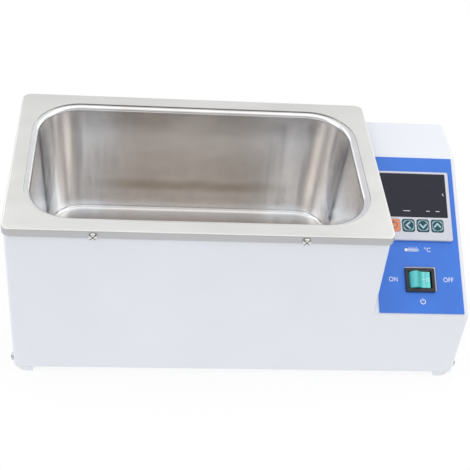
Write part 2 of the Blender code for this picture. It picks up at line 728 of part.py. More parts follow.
def build_heater_pack():
    """The heater plate, its retainer and nuts, and the probe, below the pan."""
    heater_mesh = block_mesh("heater_plate", HEATER_LENGTH, HEATER_WIDTH, HEATER_THICKNESS, HEATER_CORNER)
    heater_foot = HEATER_TOP - HEATER_THICKNESS
    heater = add_part("heater_plate", heater_mesh, CAST_ALUMINIUM, (TANK_MIDDLE, 0, heater_foot))
    retainer_mesh = block_mesh("heater_retainer", RETAINER_LENGTH, RETAINER_WIDTH, RETAINER_THICKNESS)
    retainer_foot = RETAINER_TOP - RETAINER_THICKNESS
    retainer = add_part("heater_retainer", retainer_mesh, ZINC_STEEL, (TANK_MIDDLE, 0, retainer_foot))
    for name, side in (("left", -1), ("right", 1)):
        x = TANK_MIDDLE + side * STUD_SPACING / 2
        reach = HEATER_TOP - retainer_foot + OVERRUN * 2
        hole = cylinder_mesh(f"stud_hole_{name}", STUD_RADIUS + SCREW_HOLE_PLAY, reach, SCREW_STEPS)
        bore = add_tool(hole.name, hole, (x, 0, retainer_foot - OVERRUN))
        combine(heater, bore)
        combine(retainer, bore)
        nut_mesh = cylinder_mesh(f"heater_nut_{name}", HEATER_NUT_RADIUS, HEATER_NUT_HEIGHT, 6)
        nut = add_part(nut_mesh.name, nut_mesh, ZINC_STEEL, (x, 0, NUT_TOP - HEATER_NUT_HEIGHT))
        thread = cylinder_mesh(f"nut_bore_{name}", STUD_RADIUS + SCREW_HOLE_PLAY,
                               HEATER_NUT_HEIGHT + OVERRUN * 2, SCREW_STEPS)
        combine(nut, add_tool(thread.name, thread, (x, 0, NUT_TOP - HEATER_NUT_HEIGHT - OVERRUN)))

    probe = cylinder_mesh("temperature_probe", PROBE_RADIUS, PROBE_LENGTH)
    probe_foot = (PROBE_X, 0, PROBE_HEIGHT)
    add_part("temperature_probe", probe, BRIGHT_STEEL, probe_foot, FACING_FRONT)


def build_insulation():
    gap = (PAN_SHEET + SEAT_GAP) * 2
    inner_length, inner_width = PAN_LENGTH + gap, PAN_WIDTH + gap
    inner_corner = PAN_CORNER + gap / 2
    foot = WRAP_FOOT
    wrap_mesh = block_mesh(
        "insulation_wrap", inner_length + WRAP_THICKNESS * 2, inner_width + WRAP_THICKNESS * 2,
        WRAP_HEIGHT, inner_corner + WRAP_THICKNESS, 5,
    )
    wrap = add_part("insulation_wrap", wrap_mesh, WOOL, (TANK_MIDDLE, 0, foot))
    hollow = block_mesh("wrap_hollow", inner_length, inner_width, WRAP_HEIGHT + OVERRUN * 2,
                        inner_corner, PAN_CORNER_STEPS)
    combine(wrap, add_tool("wrap_hollow", hollow, (TANK_MIDDLE, 0, foot - OVERRUN)))
    pad = block_mesh("insulation_pad", PAN_LENGTH, PAN_WIDTH, PAD_THICKNESS, PAD_CORNER)
    add_part("insulation_pad", pad, WOOL, (TANK_MIDDLE, 0, BASE_TOP + SEAT_GAP))


def build_base_plate():
    inside = (CASING_SHEET + SEAT_GAP) * 2
    corner = CASING_BEND - CASING_SHEET
    skin = tray_mesh("base_plate", BODY_LENGTH - inside, BODY_DEPTH - inside, BASE_LIP, corner, 3,
                     BASE_BEND, 2)
    base = thicken(add_part("base_plate", skin, WHITE_PAINT, (0, 0, CASING_FOOT)), BASE_SHEET)
    for side_name, x_sign in (("left", -1), ("right", 1)):
        for depth_name, y_sign in (("front", -1), ("rear", 1)):
            corner_name = f"{depth_name}_{side_name}"
            x = x_sign * (BODY_LENGTH / 2 - FOOT_HOLE_INSET)
            y = y_sign * (BODY_DEPTH / 2 - FOOT_HOLE_INSET)
            drill(base, f"base_hole_{corner_name}", FOOT_SCREW[2], (x, y, CASING_FOOT - OVERRUN), FACING_UP)
            wall = x_sign * (BODY_LENGTH - inside) / 2
            y = y_sign * (BODY_DEPTH / 2 - SIDE_SCREW_INSET)
            drill(base, f"lip_hole_{corner_name}", SIDE_SCREW[2],
                  (wall - OVERRUN, y, SIDE_SCREW_HEIGHT), FACING_RIGHT)
    for row in range(VENT_COUNT):
        slot = block_mesh(f"vent_{row}", VENT_LENGTH, VENT_WIDTH, OVERRUN * 2, VENT_WIDTH / 2 - SEAT_GAP)
        y = VENT_SHIFT + (row - (VENT_COUNT - 1) / 2) * VENT_PITCH
        combine(base, add_tool(slot.name, slot, (BOX_MIDDLE, y, CASING_FOOT - OVERRUN)))
    hole = cylinder_mesh("earth_hole", EARTH_SCREW[2] + SCREW_HOLE_PLAY, OVERRUN * 2, SCREW_STEPS)
    combine(base, add_tool("earth_hole", hole, (EARTH_X, EARTH_Y, CASING_FOOT - OVERRUN)))


def build_feet():
    for side_name, x_sign in (("left", -1), ("right", 1)):
        for depth_name, y_sign in (("front", -1), ("rear", 1)):
            corner_name = f"{depth_name}_{side_name}"
            bm = bmesh.new()
            size = Matrix.Diagonal((FOOT_SIDE, FOOT_SIDE, FOOT_HEIGHT, 1))
            middle = Matrix.Translation(
                (-x_sign * FOOT_SIDE / 2, -y_sign * FOOT_SIDE / 2, FOOT_HEIGHT / 2)
            )
            bmesh.ops.create_cube(bm, size=1, matrix=middle @ size)
            outer = [e for e in bm.edges if all(abs(v.co.x) < WELD_DISTANCE > abs(v.co.y) for v in e.verts)]
            round_edges(bm, outer, FOOT_CORNER, 6)
            mesh = finish_mesh(bm, f"foot_{corner_name}")
            corner = (x_sign * BODY_LENGTH / 2, y_sign * BODY_DEPTH / 2, 0)
            foot = soften(add_part(mesh.name, mesh, WHITE_PLASTIC, corner), FOOT_EDGE)
            x = corner[0] - x_sign * FOOT_HOLE_INSET
            y = corner[1] - y_sign * FOOT_HOLE_INSET
            well = cylinder_mesh(f"foot_well_{corner_name}", FOOT_SCREW[0] + SEAT_GAP, FOOT_WELL_DEPTH + OVERRUN)
            combine(foot, add_tool(well.name, well, (x, y, -OVERRUN)))
            bore = cylinder_mesh(f"foot_bore_{corner_name}", FOOT_SCREW[2] + SCREW_HOLE_PLAY,
                                 FOOT_HEIGHT + OVERRUN * 2, SCREW_STEPS)
            combine(foot, add_tool(bore.name, bore, (x, y, -OVERRUN)))
            screw = screw_mesh(f"foot_screw_{corner_name}", *FOOT_SCREW)
            add_part(screw.name, screw, ZINC_STEEL, (x, y, FOOT_WELL_DEPTH - SEAT_GAP), FACING_DOWN)


def build_screws():
    stand_off = RIM_PLAY + RIM_SHEET + SEAT_GAP
    for place_name, x in RIM_SCREW_PLACES:
        for depth_name, y, turn in (
            ("front", FRONT - stand_off, FACING_FRONT),
            ("rear", BACK + stand_off, FACING_BACK),
        ):
            screw = screw_mesh(f"rim_screw_{depth_name}_{place_name}", *RIM_SCREW)
            add_part(screw.name, screw, BRIGHT_STEEL, (x, y, RIM_SCREW_HEIGHT), turn)
    for side_name, x, turn in (
        ("left", LEFT - SEAT_GAP, FACING_LEFT),
        ("right", RIGHT + SEAT_GAP, FACING_RIGHT),
    ):
        for depth_name, y in (("front", FRONT + SIDE_SCREW_INSET), ("rear", BACK - SIDE_SCREW_INSET)):
            screw = screw_mesh(f"side_screw_{depth_name}_{side_name}", *SIDE_SCREW)
            add_part(screw.name, screw, ZINC_STEEL, (x, y, SIDE_SCREW_HEIGHT), turn)


def build_partition():
    """A sheet wall that follows the slope above it, with a foot and holes for the tank's wires."""
    drop = CASING_SHEET + SEAT_GAP
    foot = BASE_TOP + SEAT_GAP
    front, back = FRONT + PARTITION_EDGE, BACK - PARTITION_EDGE
    lowered = FOLD_HEIGHT - drop / math.cos(SLOPE_ANGLE)
    top = BOX_HEIGHT - drop
    slope_back = FRONT + (top - lowered) / math.tan(SLOPE_ANGLE)
    outline = [
        (front, foot),
        (back, foot),
        (back, top),
        (slope_back + CASING_BEND, top),
        (slope_back - CASING_BEND * math.cos(SLOPE_ANGLE), top - CASING_BEND * math.sin(SLOPE_ANGLE)),
        (front, lowered + PARTITION_EDGE * math.tan(SLOPE_ANGLE)),
    ]
    mesh = outline_mesh("partition", outline, PARTITION_SHEET)
    x = TANK_RIGHT + PARTITION_OFFSET + PARTITION_SHEET / 2
    partition = add_part("partition", mesh, ZINC_STEEL, (x, 0, 0), SIDE_VIEW)
    strip = block_mesh("partition_foot", PARTITION_FOOT, back - front, PARTITION_SHEET)
    combine(partition, add_tool("partition_foot", strip, (x - PARTITION_FOOT / 2, 0, foot)), "UNION")
    for name, y in PARTITION_HOLES:
        hole = cylinder_mesh(f"partition_hole_{name}", PARTITION_HOLE_RADIUS, OVERRUN * 2, SCREW_STEPS)
        combine(partition, add_tool(hole.name, hole, (x - OVERRUN, y, PARTITION_HOLE_HEIGHT), FACING_RIGHT))


def build_overlay():
    mesh = block_mesh("panel_overlay", OVERLAY_WIDTH, OVERLAY_LENGTH, OVERLAY_THICKNESS, OVERLAY_CORNER)
    middle = OVERLAY_FOOT + OVERLAY_LENGTH / 2
    overlay = add_part("panel_overlay", mesh, BLUE_FILM, (0, middle, SEAT_GAP), parent=panel)
    cut_controller_window(overlay)
    length = SWITCH_BODY_LENGTH + SWITCH_HOLE_SLACK + SWITCH_HOLE_SHIFT * 2
    width = SWITCH_BODY_WIDTH + SWITCH_HOLE_SLACK + SWITCH_HOLE_SHIFT * 2
    hole = block_mesh("overlay_switch_window", length, width, OVERRUN * 2)
    corner = (SWITCH_HOLE_SHIFT, SWITCH_PLACE + SWITCH_HOLE_SHIFT, -OVERRUN)
    combine(overlay, add_tool("overlay_switch_window", hole, corner, parent=panel))


def build_controller():
    """The bezel, case, board, window, four keys and two clips of the temperature controller."""
    middle = CONTROLLER_PLACE
    bezel_mesh = block_mesh("controller_bezel", CONTROLLER_SIDE, CONTROLLER_SIDE, BEZEL_THICKNESS, BEZEL_CORNER)
    bezel = add_part("controller_bezel", bezel_mesh, GREY_PLASTIC, (0, middle, BEZEL_BASE), parent=panel)
    soften(bezel, BEZEL_EDGE)
    window_y = middle + CONTROLLER_SIDE / 2 - WINDOW_MARGIN - WINDOW_HEIGHT / 2
    hole = block_mesh("window_hole", WINDOW_WIDTH + SEAT_GAP * 2, WINDOW_HEIGHT + SEAT_GAP * 2,
                      OVERRUN * 3, WINDOW_CORNER + SEAT_GAP, 2)
    combine(bezel, add_tool("window_hole", hole, (0, window_y, BEZEL_BASE - OVERRUN), parent=panel))
    window = block_mesh("display_window", WINDOW_WIDTH, WINDOW_HEIGHT, WINDOW_THICKNESS, WINDOW_CORNER, 2)
    window_foot = BEZEL_TOP - WINDOW_RECESS - WINDOW_THICKNESS
    add_part("display_window", window, WINDOW_FILM, (0, window_y, window_foot), parent=panel)

    board_top = BEZEL_BASE - BOARD_DROP
    key_y = middle - CONTROLLER_SIDE / 2 + KEY_PLACE
    cap_top = BEZEL_TOP + KEY_PROUD
    flange_top = BEZEL_BASE - SEAT_GAP
    flange_foot = flange_top - KEY_FLANGE
    board_side = CASE_SIDE - (CASE_WALL + SEAT_GAP) * 2
    board_mesh = block_mesh("controller_board", board_side, board_side, BOARD_THICKNESS)
    board_foot = board_top - BOARD_THICKNESS
    board = add_part("controller_board", board_mesh, BOARD_GREEN, (0, middle, board_foot), parent=panel)
    for index, name in enumerate(KEY_NAMES):
        x = (index - (len(KEY_NAMES) - 1) / 2) * KEY_PITCH
        hole = block_mesh(name + "_hole", KEY_WIDTH + SEAT_GAP * 2, KEY_HEIGHT + SEAT_GAP * 2,
                          OVERRUN * 3, KEY_CORNER + SEAT_GAP)
        combine(bezel, add_tool(hole.name, hole, (x, key_y, BEZEL_BASE - OVERRUN), parent=panel))
        cap = block_mesh(name, KEY_WIDTH, KEY_HEIGHT, cap_top - flange_foot, KEY_CORNER)
        finish = ORANGE_KEY if index == 0 else TEAL_KEY
        key = add_part(name, cap, finish, (x, key_y, flange_foot), parent=panel)
        collar = block_mesh(name + "_collar", KEY_WIDTH + KEY_FLANGE_LIP * 2, KEY_HEIGHT + KEY_FLANGE_LIP * 2,
                            KEY_FLANGE, KEY_CORNER)
        combine(key, add_tool(collar.name, collar, (x, key_y, flange_foot), parent=panel), "UNION")
        post_height = flange_foot - KEY_TRAVEL - SEAT_GAP - board_top
        root = BOARD_THICKNESS / 2
        post = block_mesh(name + "_switch", SENSOR_RADIUS * 2, SENSOR_RADIUS * 2, post_height + root)
        combine(board, add_tool(post.name, post, (x, key_y, board_top - root), parent=panel), "UNION")

    case_mesh = block_mesh("controller_case", CASE_SIDE, CASE_SIDE, CASE_DEPTH + OVERLAY_TOP, CASE_CORNER)
    case = add_part("controller_case", case_mesh, BLACK_PLASTIC, (0, middle, -CASE_DEPTH), parent=panel)
    room = CASE_SIDE - CASE_WALL * 2
    hollow = block_mesh("case_hollow", room, room, CASE_DEPTH + OVERLAY_TOP + OVERRUN)
    combine(case, add_tool("case_hollow", hollow, (0, middle, CASE_WALL - CASE_DEPTH), parent=panel))
    for name, side in (("left", -1), ("right", 1)):
        x = side * (CASE_SIDE / 2 + SEAT_GAP + CLIP_THICKNESS / 2)
        top = -CASING_SHEET - SEAT_GAP
        clip_mesh = block_mesh(f"controller_clip_{name}", CLIP_THICKNESS, CLIP_WIDTH, CLIP_LENGTH)
        clip = add_part(clip_mesh.name, clip_mesh, BLACK_PLASTIC, (x, middle, top - CLIP_LENGTH), parent=panel)
        hook = block_mesh(f"clip_hook_{name}", CLIP_THICKNESS, CLIP_WIDTH, CLIP_HOOK)
        out = (x + side * CLIP_THICKNESS / 2, middle, top - CLIP_HOOK)
        combine(clip, add_tool(hook.name, hook, out, parent=panel), "UNION")


def build_switch():
    """The switch's frame with its pocket, the rocker on its trunnions, and two terminal tabs."""
    pivot = (0, SWITCH_PLACE, PIVOT_HEIGHT)
    frame_mesh = block_mesh("switch_frame", SWITCH_LENGTH, SWITCH_WIDTH, SWITCH_FLANGE, SWITCH_CORNER)
    frame = add_part("switch_frame", frame_mesh, BLACK_PLASTIC, (0, SWITCH_PLACE, BEZEL_BASE), parent=panel)
    body_height = SWITCH_BODY_DEPTH + BEZEL_BASE + SWITCH_FLANGE / 2
    body = block_mesh("switch_body", SWITCH_BODY_LENGTH, SWITCH_BODY_WIDTH, body_height)
    body_tool = add_tool("switch_body", body, (0, SWITCH_PLACE, -SWITCH_BODY_DEPTH), parent=panel)
    combine(frame, body_tool, "UNION")
    pocket = block_mesh("switch_pocket", SWITCH_POCKET_LENGTH, SWITCH_POCKET_WIDTH,
                        SWITCH_POCKET_DEPTH + OVERRUN)
    pocket_foot = (0, SWITCH_PLACE, SWITCH_TOP - SWITCH_POCKET_DEPTH)
    combine(frame, add_tool("switch_pocket", pocket, pocket_foot, parent=panel))
    bore = cylinder_mesh("switch_pivot", TRUNNION_RADIUS + TRUNNION_PLAY, SWITCH_WIDTH, SCREW_STEPS)
    bore_foot = (0, SWITCH_PLACE + SWITCH_WIDTH / 2, PIVOT_HEIGHT)
    combine(frame, add_tool("switch_pivot", bore, bore_foot, FACING_FRONT, panel))

    width = SWITCH_POCKET_WIDTH - SEAT_GAP * 2
    lean = math.tan(ROCKER_TILT)
    spread = 1 + lean * lean
    half = ROCKER_VALLEY * lean
    edge_x = (math.sqrt(half * half + spread * (ROCKER_RADIUS**2 - ROCKER_VALLEY**2)) - half) / spread
    edge_turn = math.acos(edge_x / ROCKER_RADIUS)
    foot_turn = -math.asin((ROCKER_THICKNESS - ROCKER_VALLEY) / ROCKER_RADIUS)
    right_end = arc_points(ROCKER_RADIUS, foot_turn, edge_turn, 4)
    left_end = [(-x, z) for x, z in reversed(right_end)]
    outline = right_end + [(0, ROCKER_VALLEY)] + left_end
    rocker_mesh = outline_mesh("rocker", outline, width)
    turn = Matrix.Rotation(ROCKER_TILT, 4, "Y") @ Matrix.Rotation(math.radians(90), 4, "X")
    rocker_mesh.transform(turn)
    rocker = add_part("rocker", rocker_mesh, GREEN_ROCKER, pivot, parent=panel)
    span = SWITCH_BODY_WIDTH
    trunnion = cylinder_mesh("rocker_trunnion", TRUNNION_RADIUS, span, SCREW_STEPS)
    end = (0, SWITCH_PLACE + span / 2, PIVOT_HEIGHT)
    combine(rocker, add_tool("rocker_trunnion", trunnion, end, FACING_FRONT, panel), "UNION")

    for name, side in (("in", 1), ("out", -1)):
        tab_mesh = block_mesh(f"switch_tab_{name}", TAB_THICKNESS, TAB_WIDTH, TAB_LENGTH - SEAT_GAP)
        foot = (side * TAB_SPACING / 2, SWITCH_PLACE, -SWITCH_TAB_END)
        add_part(tab_mesh.name, tab_mesh, BRASS, foot, parent=panel)


def build_inlet():
    """The mains inlet: flanged housing, three pins, fuse drawer, fuse and two screws."""
    housing_mesh = block_mesh("inlet_housing", INLET_FLANGE_LENGTH, INLET_FLANGE_HEIGHT,
                              INLET_FLANGE_THICKNESS, INLET_FLANGE_CORNER)
    housing = add_part("inlet_housing", housing_mesh, BLACK_PLASTIC, (0, 0, SEAT_GAP), parent=inlet)
    body_height = INLET_BODY_DEPTH + SEAT_GAP + INLET_FLANGE_THICKNESS / 2
    body = block_mesh("inlet_body", INLET_BODY_LENGTH, INLET_BODY_HEIGHT, body_height, INLET_BODY_CORNER)
    combine(housing, add_tool("inlet_body", body, (0, 0, -INLET_BODY_DEPTH), parent=inlet), "UNION")
    half_length, half_height, cut = SOCKET_LENGTH / 2, SOCKET_HEIGHT / 2, SOCKET_CHAMFER
    outline = [
        (-half_length, -half_height),
        (half_length, -half_height),
        (half_length, half_height - cut),
        (half_length - cut, half_height),
        (cut - half_length, half_height),
        (-half_length, half_height - cut),
    ]
    socket = outline_mesh("socket", outline, SOCKET_DEPTH + OVERRUN)
    socket_middle = INLET_FACE + (OVERRUN - SOCKET_DEPTH) / 2
    combine(housing, add_tool("socket", socket, (0, SOCKET_RISE, socket_middle), parent=inlet))

    pins = (
        ("live", -PIN_SPACING / 2, -PIN_DROP),
        ("neutral", PIN_SPACING / 2, -PIN_DROP),
        ("earth", 0, PIN_EARTH_RISE),
    )
    pin_length = PIN_BASE + INLET_FACE - SOCKET_DEPTH + PIN_REACH
    for name, x, rise in pins:
        y = SOCKET_RISE + rise
        slot = block_mesh(f"pin_slot_{name}", PIN_WIDTH + SEAT_GAP * 2, PIN_HEIGHT + SEAT_GAP * 2,
                          INLET_BODY_DEPTH)
        slot_foot = (x, y, -INLET_BODY_DEPTH - OVERRUN)
        combine(housing, add_tool(slot.name, slot, slot_foot, parent=inlet))
        pin = block_mesh(f"inlet_pin_{name}", PIN_WIDTH, PIN_HEIGHT, pin_length)
        add_part(pin.name, pin, BRASS, (x, y, -PIN_BASE), parent=inlet)

    drawer_y = -DRAWER_DROP
    drawer_foot = INLET_FACE + SEAT_GAP - DRAWER_DEPTH
    slot = block_mesh("drawer_slot", DRAWER_LENGTH + SEAT_GAP * 2, DRAWER_HEIGHT + SEAT_GAP * 2,
                      DRAWER_DEPTH + OVERRUN)
    combine(housing, add_tool("drawer_slot", slot, (0, drawer_y, drawer_foot - SEAT_GAP), parent=inlet))
    drawer_mesh = block_mesh("fuse_drawer", DRAWER_LENGTH, DRAWER_HEIGHT, DRAWER_DEPTH + DRAWER_LIP)
    drawer = add_part("fuse_drawer", drawer_mesh, BLACK_PLASTIC, (0, drawer_y, drawer_foot), parent=inlet)
    lip = block_mesh("drawer_lip", DRAWER_LENGTH + DRAWER_WALL * 2, DRAWER_HEIGHT, DRAWER_LIP)
    lip_foot = (0, drawer_y, INLET_FACE + SEAT_GAP)
    combine(drawer, add_tool("drawer_lip", lip, lip_foot, parent=inlet), "UNION")
    cradle_height = (FUSE_RADIUS + SEAT_GAP) * 2
    cradle = block_mesh("fuse_cradle", FUSE_LENGTH + SEAT_GAP * 2, cradle_height + OVERRUN, cradle_height)
    fuse_height = drawer_foot + DRAWER_WALL + FUSE_RADIUS + SEAT_GAP
    cradle_y = drawer_y - DRAWER_HEIGHT / 2 + DRAWER_WALL + (cradle_height + OVERRUN) / 2
    cradle_foot = (0, cradle_y, drawer_foot + DRAWER_WALL)
    combine(drawer, add_tool("fuse_cradle", cradle, cradle_foot, parent=inlet))
    fuse = cylinder_mesh("fuse", FUSE_RADIUS, FUSE_LENGTH)
    fuse_y = drawer_y - DRAWER_HEIGHT / 2 + DRAWER_WALL + SEAT_GAP + FUSE_RADIUS
    add_part("fuse", fuse, GLASS, (-FUSE_LENGTH / 2, fuse_y, fuse_height), FACING_RIGHT, inlet)

    head_radius, head_height, shank_radius, shank_length = INLET_SCREW
    flush = INLET_FACE - head_height
    for name, side in (("left", 1), ("right", -1)):
        x = side * INLET_SCREW_SPACING / 2
        well = cylinder_mesh(f"inlet_well_{name}", head_radius + SEAT_GAP, head_height + OVERRUN)
        combine(housing, add_tool(well.name, well, (x, 0, flush - SEAT_GAP), parent=inlet))
        bore = cylinder_mesh(f"inlet_bore_{name}", shank_radius + SCREW_HOLE_PLAY, OVERRUN * 2, SCREW_STEPS)
        combine(housing, add_tool(bore.name, bore, (x, 0, -OVERRUN), parent=inlet))
        screw = screw_mesh(f"inlet_screw_{name}", *INLET_SCREW)
        add_part(screw.name, screw, ZINC_STEEL, (x, 0, flush), parent=inlet)


def build_terminals():
    """A three-way ceramic terminal block and the earth screw, both on the base plate."""
    foot = BASE_TOP + SEAT_GAP
    mesh = block_mesh("terminal_block", TERMINAL_LENGTH, TERMINAL_DEPTH, TERMINAL_HEIGHT, TERMINAL_CORNER, 2)
    block = add_part("terminal_block", mesh, CERAMIC, (BOX_MIDDLE, TERMINAL_SHIFT, foot))
    for index in (-1, 0, 1):
        x = BOX_MIDDLE + index * TERMINAL_PITCH
        bore = cylinder_mesh(f"terminal_bore_{index}", TERMINAL_HOLE_RADIUS, TERMINAL_DEPTH + OVERRUN * 2, 10)
        bore_foot = (x, TERMINAL_SHIFT + TERMINAL_DEPTH / 2 + OVERRUN, TERMINAL_Z)
        combine(block, add_tool(bore.name, bore, bore_foot, FACING_FRONT))
        well = cylinder_mesh(f"terminal_well_{index}", TERMINAL_WELL_RADIUS, TERMINAL_WELL_DEPTH + OVERRUN, 10)
        well_foot = (x, TERMINAL_SHIFT, foot + TERMINAL_HEIGHT - TERMINAL_WELL_DEPTH)
        combine(block, add_tool(well.name, well, well_foot))
    screw = screw_mesh("earth_screw", *EARTH_SCREW)
    add_part("earth_screw", screw, BRASS, (EARTH_X, EARTH_Y, BASE_TOP + SEAT_GAP))


def build_wires():
    """The inner wiring, from the inlet through the switch and terminals to the heater and probe."""
    forward, backward = Vector((0, -1, 0)), Vector((0, 1, 0))
    leftward, rightward = Vector((-1, 0, 0)), Vector((1, 0, 0))
    into_box = (on_panel(0, 0, -1) - on_panel(0, 0, 0)).normalized()
    pin_end = inlet.matrix_world @ Vector((0, SOCKET_RISE, -PIN_BASE - SEAT_GAP))
    live_pin = pin_end + Vector((PIN_SPACING / 2, 0, -PIN_DROP))
    neutral_pin = pin_end + Vector((-PIN_SPACING / 2, 0, -PIN_DROP))
    earth_pin = pin_end + Vector((0, 0, PIN_EARTH_RISE))
    tab_reach = -SWITCH_TAB_END - SEAT_GAP
    tab_in = on_panel(TAB_SPACING / 2, SWITCH_PLACE, tab_reach)
    tab_out = on_panel(-TAB_SPACING / 2, SWITCH_PLACE, tab_reach)
    front_face = TERMINAL_SHIFT - TERMINAL_DEPTH / 2 - SEAT_GAP
    rear_face = TERMINAL_SHIFT + TERMINAL_DEPTH / 2 + SEAT_GAP
    first, last = BOX_MIDDLE - TERMINAL_PITCH, BOX_MIDDLE + TERMINAL_PITCH
    heater_end = TANK_MIDDLE + HEATER_LENGTH / 2 + SEAT_GAP
    heater_height = HEATER_TOP - HEATER_THICKNESS / 2
    hole_x = TANK_RIGHT + PARTITION_OFFSET + PARTITION_SHEET / 2
    holes = {name: Vector((hole_x, y, PARTITION_HOLE_HEIGHT)) for name, y in PARTITION_HOLES}

    beside_block = Vector((last + TERMINAL_LENGTH / 3, TERMINAL_SHIFT, BASE_TOP + WIRE_RADIUS * 2))
    stops = [(live_pin, forward), (beside_block, forward), (tab_in, -into_box)]
    cable("wire_live", stops, WIRE_RADIUS, RED_WIRE)
    to_first = Vector((first, front_face, TERMINAL_Z))
    cable("wire_switched", [(tab_out, into_box), (to_first, backward)], WIRE_RADIUS, RED_WIRE)
    to_last = Vector((last, rear_face, TERMINAL_Z))
    cable("wire_neutral", [(neutral_pin, forward), (to_last, forward)], WIRE_RADIUS, BLUE_WIRE)
    head_radius, head_height = EARTH_SCREW[0], EARTH_SCREW[1]
    at_screw = Vector((EARTH_X, EARTH_Y + head_radius + SEAT_GAP, BASE_TOP + SEAT_GAP + WIRE_RADIUS + SEAT_GAP))
    cable("wire_earth", [(earth_pin, forward), (at_screw, forward)], WIRE_RADIUS, GREEN_WIRE)
    under_pass = Vector((BOX_MIDDLE, front_face - TERMINAL_DEPTH, BASE_TOP + WIRE_RADIUS * 2))
    starts = {
        "front": [(Vector((last, front_face, TERMINAL_Z)), forward), (under_pass, leftward)],
        "rear": [(Vector((first, rear_face, TERMINAL_Z)), backward)],
    }
    for name, side in (("front", -1), ("rear", 1)):
        at_heater = Vector((heater_end, side * HEATER_LEAD_SPACING / 2, heater_height))
        stops = [*starts[name], (holes[name], leftward), (at_heater, leftward)]
        cable(f"heater_lead_{name}", stops, WIRE_RADIUS, WHITE_WIRE)
    probe_end = Vector((PROBE_X, SEAT_GAP, PROBE_HEIGHT))
    behind = on_panel(-CASE_SIDE / 4, CONTROLLER_PLACE, -CASE_DEPTH - SEAT_GAP)
    stops = [(probe_end, backward), (holes["probe"], rightward), (behind, -into_box)]
    cable("probe_cable", stops, CABLE_RADIUS, BLACK_PLASTIC)


clear_scene()
parts = new_collection(OBJECT_NAME)
cutters = new_collection(OBJECT_NAME + "_cutters")

panel = add_frame("panel_frame", (BOX_MIDDLE, FRONT, FOLD_HEIGHT), (SLOPE_ANGLE, 0, 0))
inlet = add_frame("inlet_frame", (BOX_MIDDLE, BACK, INLET_HEIGHT), FACING_BACK)
bpy.context.view_layer.update()

build_casing()
build_rim_plate()
build_pan()
build_heater_pack()
build_insulation()
build_base_plate()
build_feet()
build_screws()
build_partition()
build_overlay()
build_controller()
build_switch()
build_inlet()
build_terminals()
build_wires()
bpy.context.view_layer.update()
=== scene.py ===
"""The looks of a laboratory water bath: detailed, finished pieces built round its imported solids."""

import math

import bmesh
import bpy
from bpy.props import FloatProperty, FloatVectorProperty, IntProperty, PointerProperty
from mathutils import Matrix, Vector


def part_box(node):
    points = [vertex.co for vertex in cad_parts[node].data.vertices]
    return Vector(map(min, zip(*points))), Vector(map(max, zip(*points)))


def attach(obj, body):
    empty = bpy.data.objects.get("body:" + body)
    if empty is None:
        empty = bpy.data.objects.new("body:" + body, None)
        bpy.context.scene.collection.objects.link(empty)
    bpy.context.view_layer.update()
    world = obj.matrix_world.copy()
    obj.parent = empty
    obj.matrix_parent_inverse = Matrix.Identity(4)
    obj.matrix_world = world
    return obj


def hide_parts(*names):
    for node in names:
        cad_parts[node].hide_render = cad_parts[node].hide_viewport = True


bl_info = {
    "name": "Laboratory Water Bath",
    "version": (1, 0, 0),
    "blender": (4, 5, 0),
    "location": "View3D > Sidebar > Water Bath",
    "description": "Dresses the solids of a bench-top water bath in detailed pieces with node materials",
    "category": "Object",
}

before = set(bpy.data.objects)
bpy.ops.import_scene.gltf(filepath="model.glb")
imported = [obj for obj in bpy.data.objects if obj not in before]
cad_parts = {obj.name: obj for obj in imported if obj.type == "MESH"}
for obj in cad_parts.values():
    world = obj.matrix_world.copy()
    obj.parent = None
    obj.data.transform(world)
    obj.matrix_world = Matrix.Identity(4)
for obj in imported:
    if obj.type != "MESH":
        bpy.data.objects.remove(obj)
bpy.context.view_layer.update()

PHOTO_SIDE = 470
SENSOR = 36.0

# Gaps and margins, in metres like every size here
GAP = 0.0003
OVERRUN = 0.003
WELD = 0.000005
INK = 0.00004
# A mitred line's corner reaches at most its half width over this
MITRE_LIMIT = 0.3

# Turns that point a mesh's +Z to the front or to the back
QUARTER_TURN = math.radians(90)
FORWARDS = Matrix.Rotation(QUARTER_TURN, 4, "X")
BACKWARDS = Matrix.Rotation(math.pi, 4, "Z") @ FORWARDS

# The body, read from the solids' own boxes
(LEFT, FRONT, CASING_FOOT), (RIGHT, BACK, CASING_TOP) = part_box("casing")
RIM_LOW, RIM_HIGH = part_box("rim_plate")
STUD_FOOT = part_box("tank_pan")[0].z
RIM_TOP = RIM_HIGH.z
TANK_MIDDLE = (RIM_LOW.x + RIM_HIGH.x) / 2
RIM_LENGTH = RIM_HIGH.x - RIM_LOW.x
RIM_WIDTH = RIM_HIGH.y - RIM_LOW.y
RIM_STAND_OFF = FRONT - RIM_LOW.y
TANK_RIGHT = RIM_HIGH.x - RIM_STAND_OFF
BOX_MIDDLE = (TANK_RIGHT + RIGHT) / 2
BOX_DROP = 0.017
BOX_TOP = RIM_TOP - BOX_DROP
SLOPE_RUN = 0.1465
SLOPE_RISE = 0.08
FOLD = BOX_TOP - SLOPE_RISE
SLOPE_ANGLE = math.atan2(SLOPE_RISE, SLOPE_RUN)
SLOPE_LENGTH = math.hypot(SLOPE_RUN, SLOPE_RISE)
# The panel's own frame: X to the right, Y up the slope from the fold, Z out of it
PANEL = Matrix.Translation((BOX_MIDDLE, FRONT, FOLD)) @ Matrix.Rotation(SLOPE_ANGLE, 4, "X")

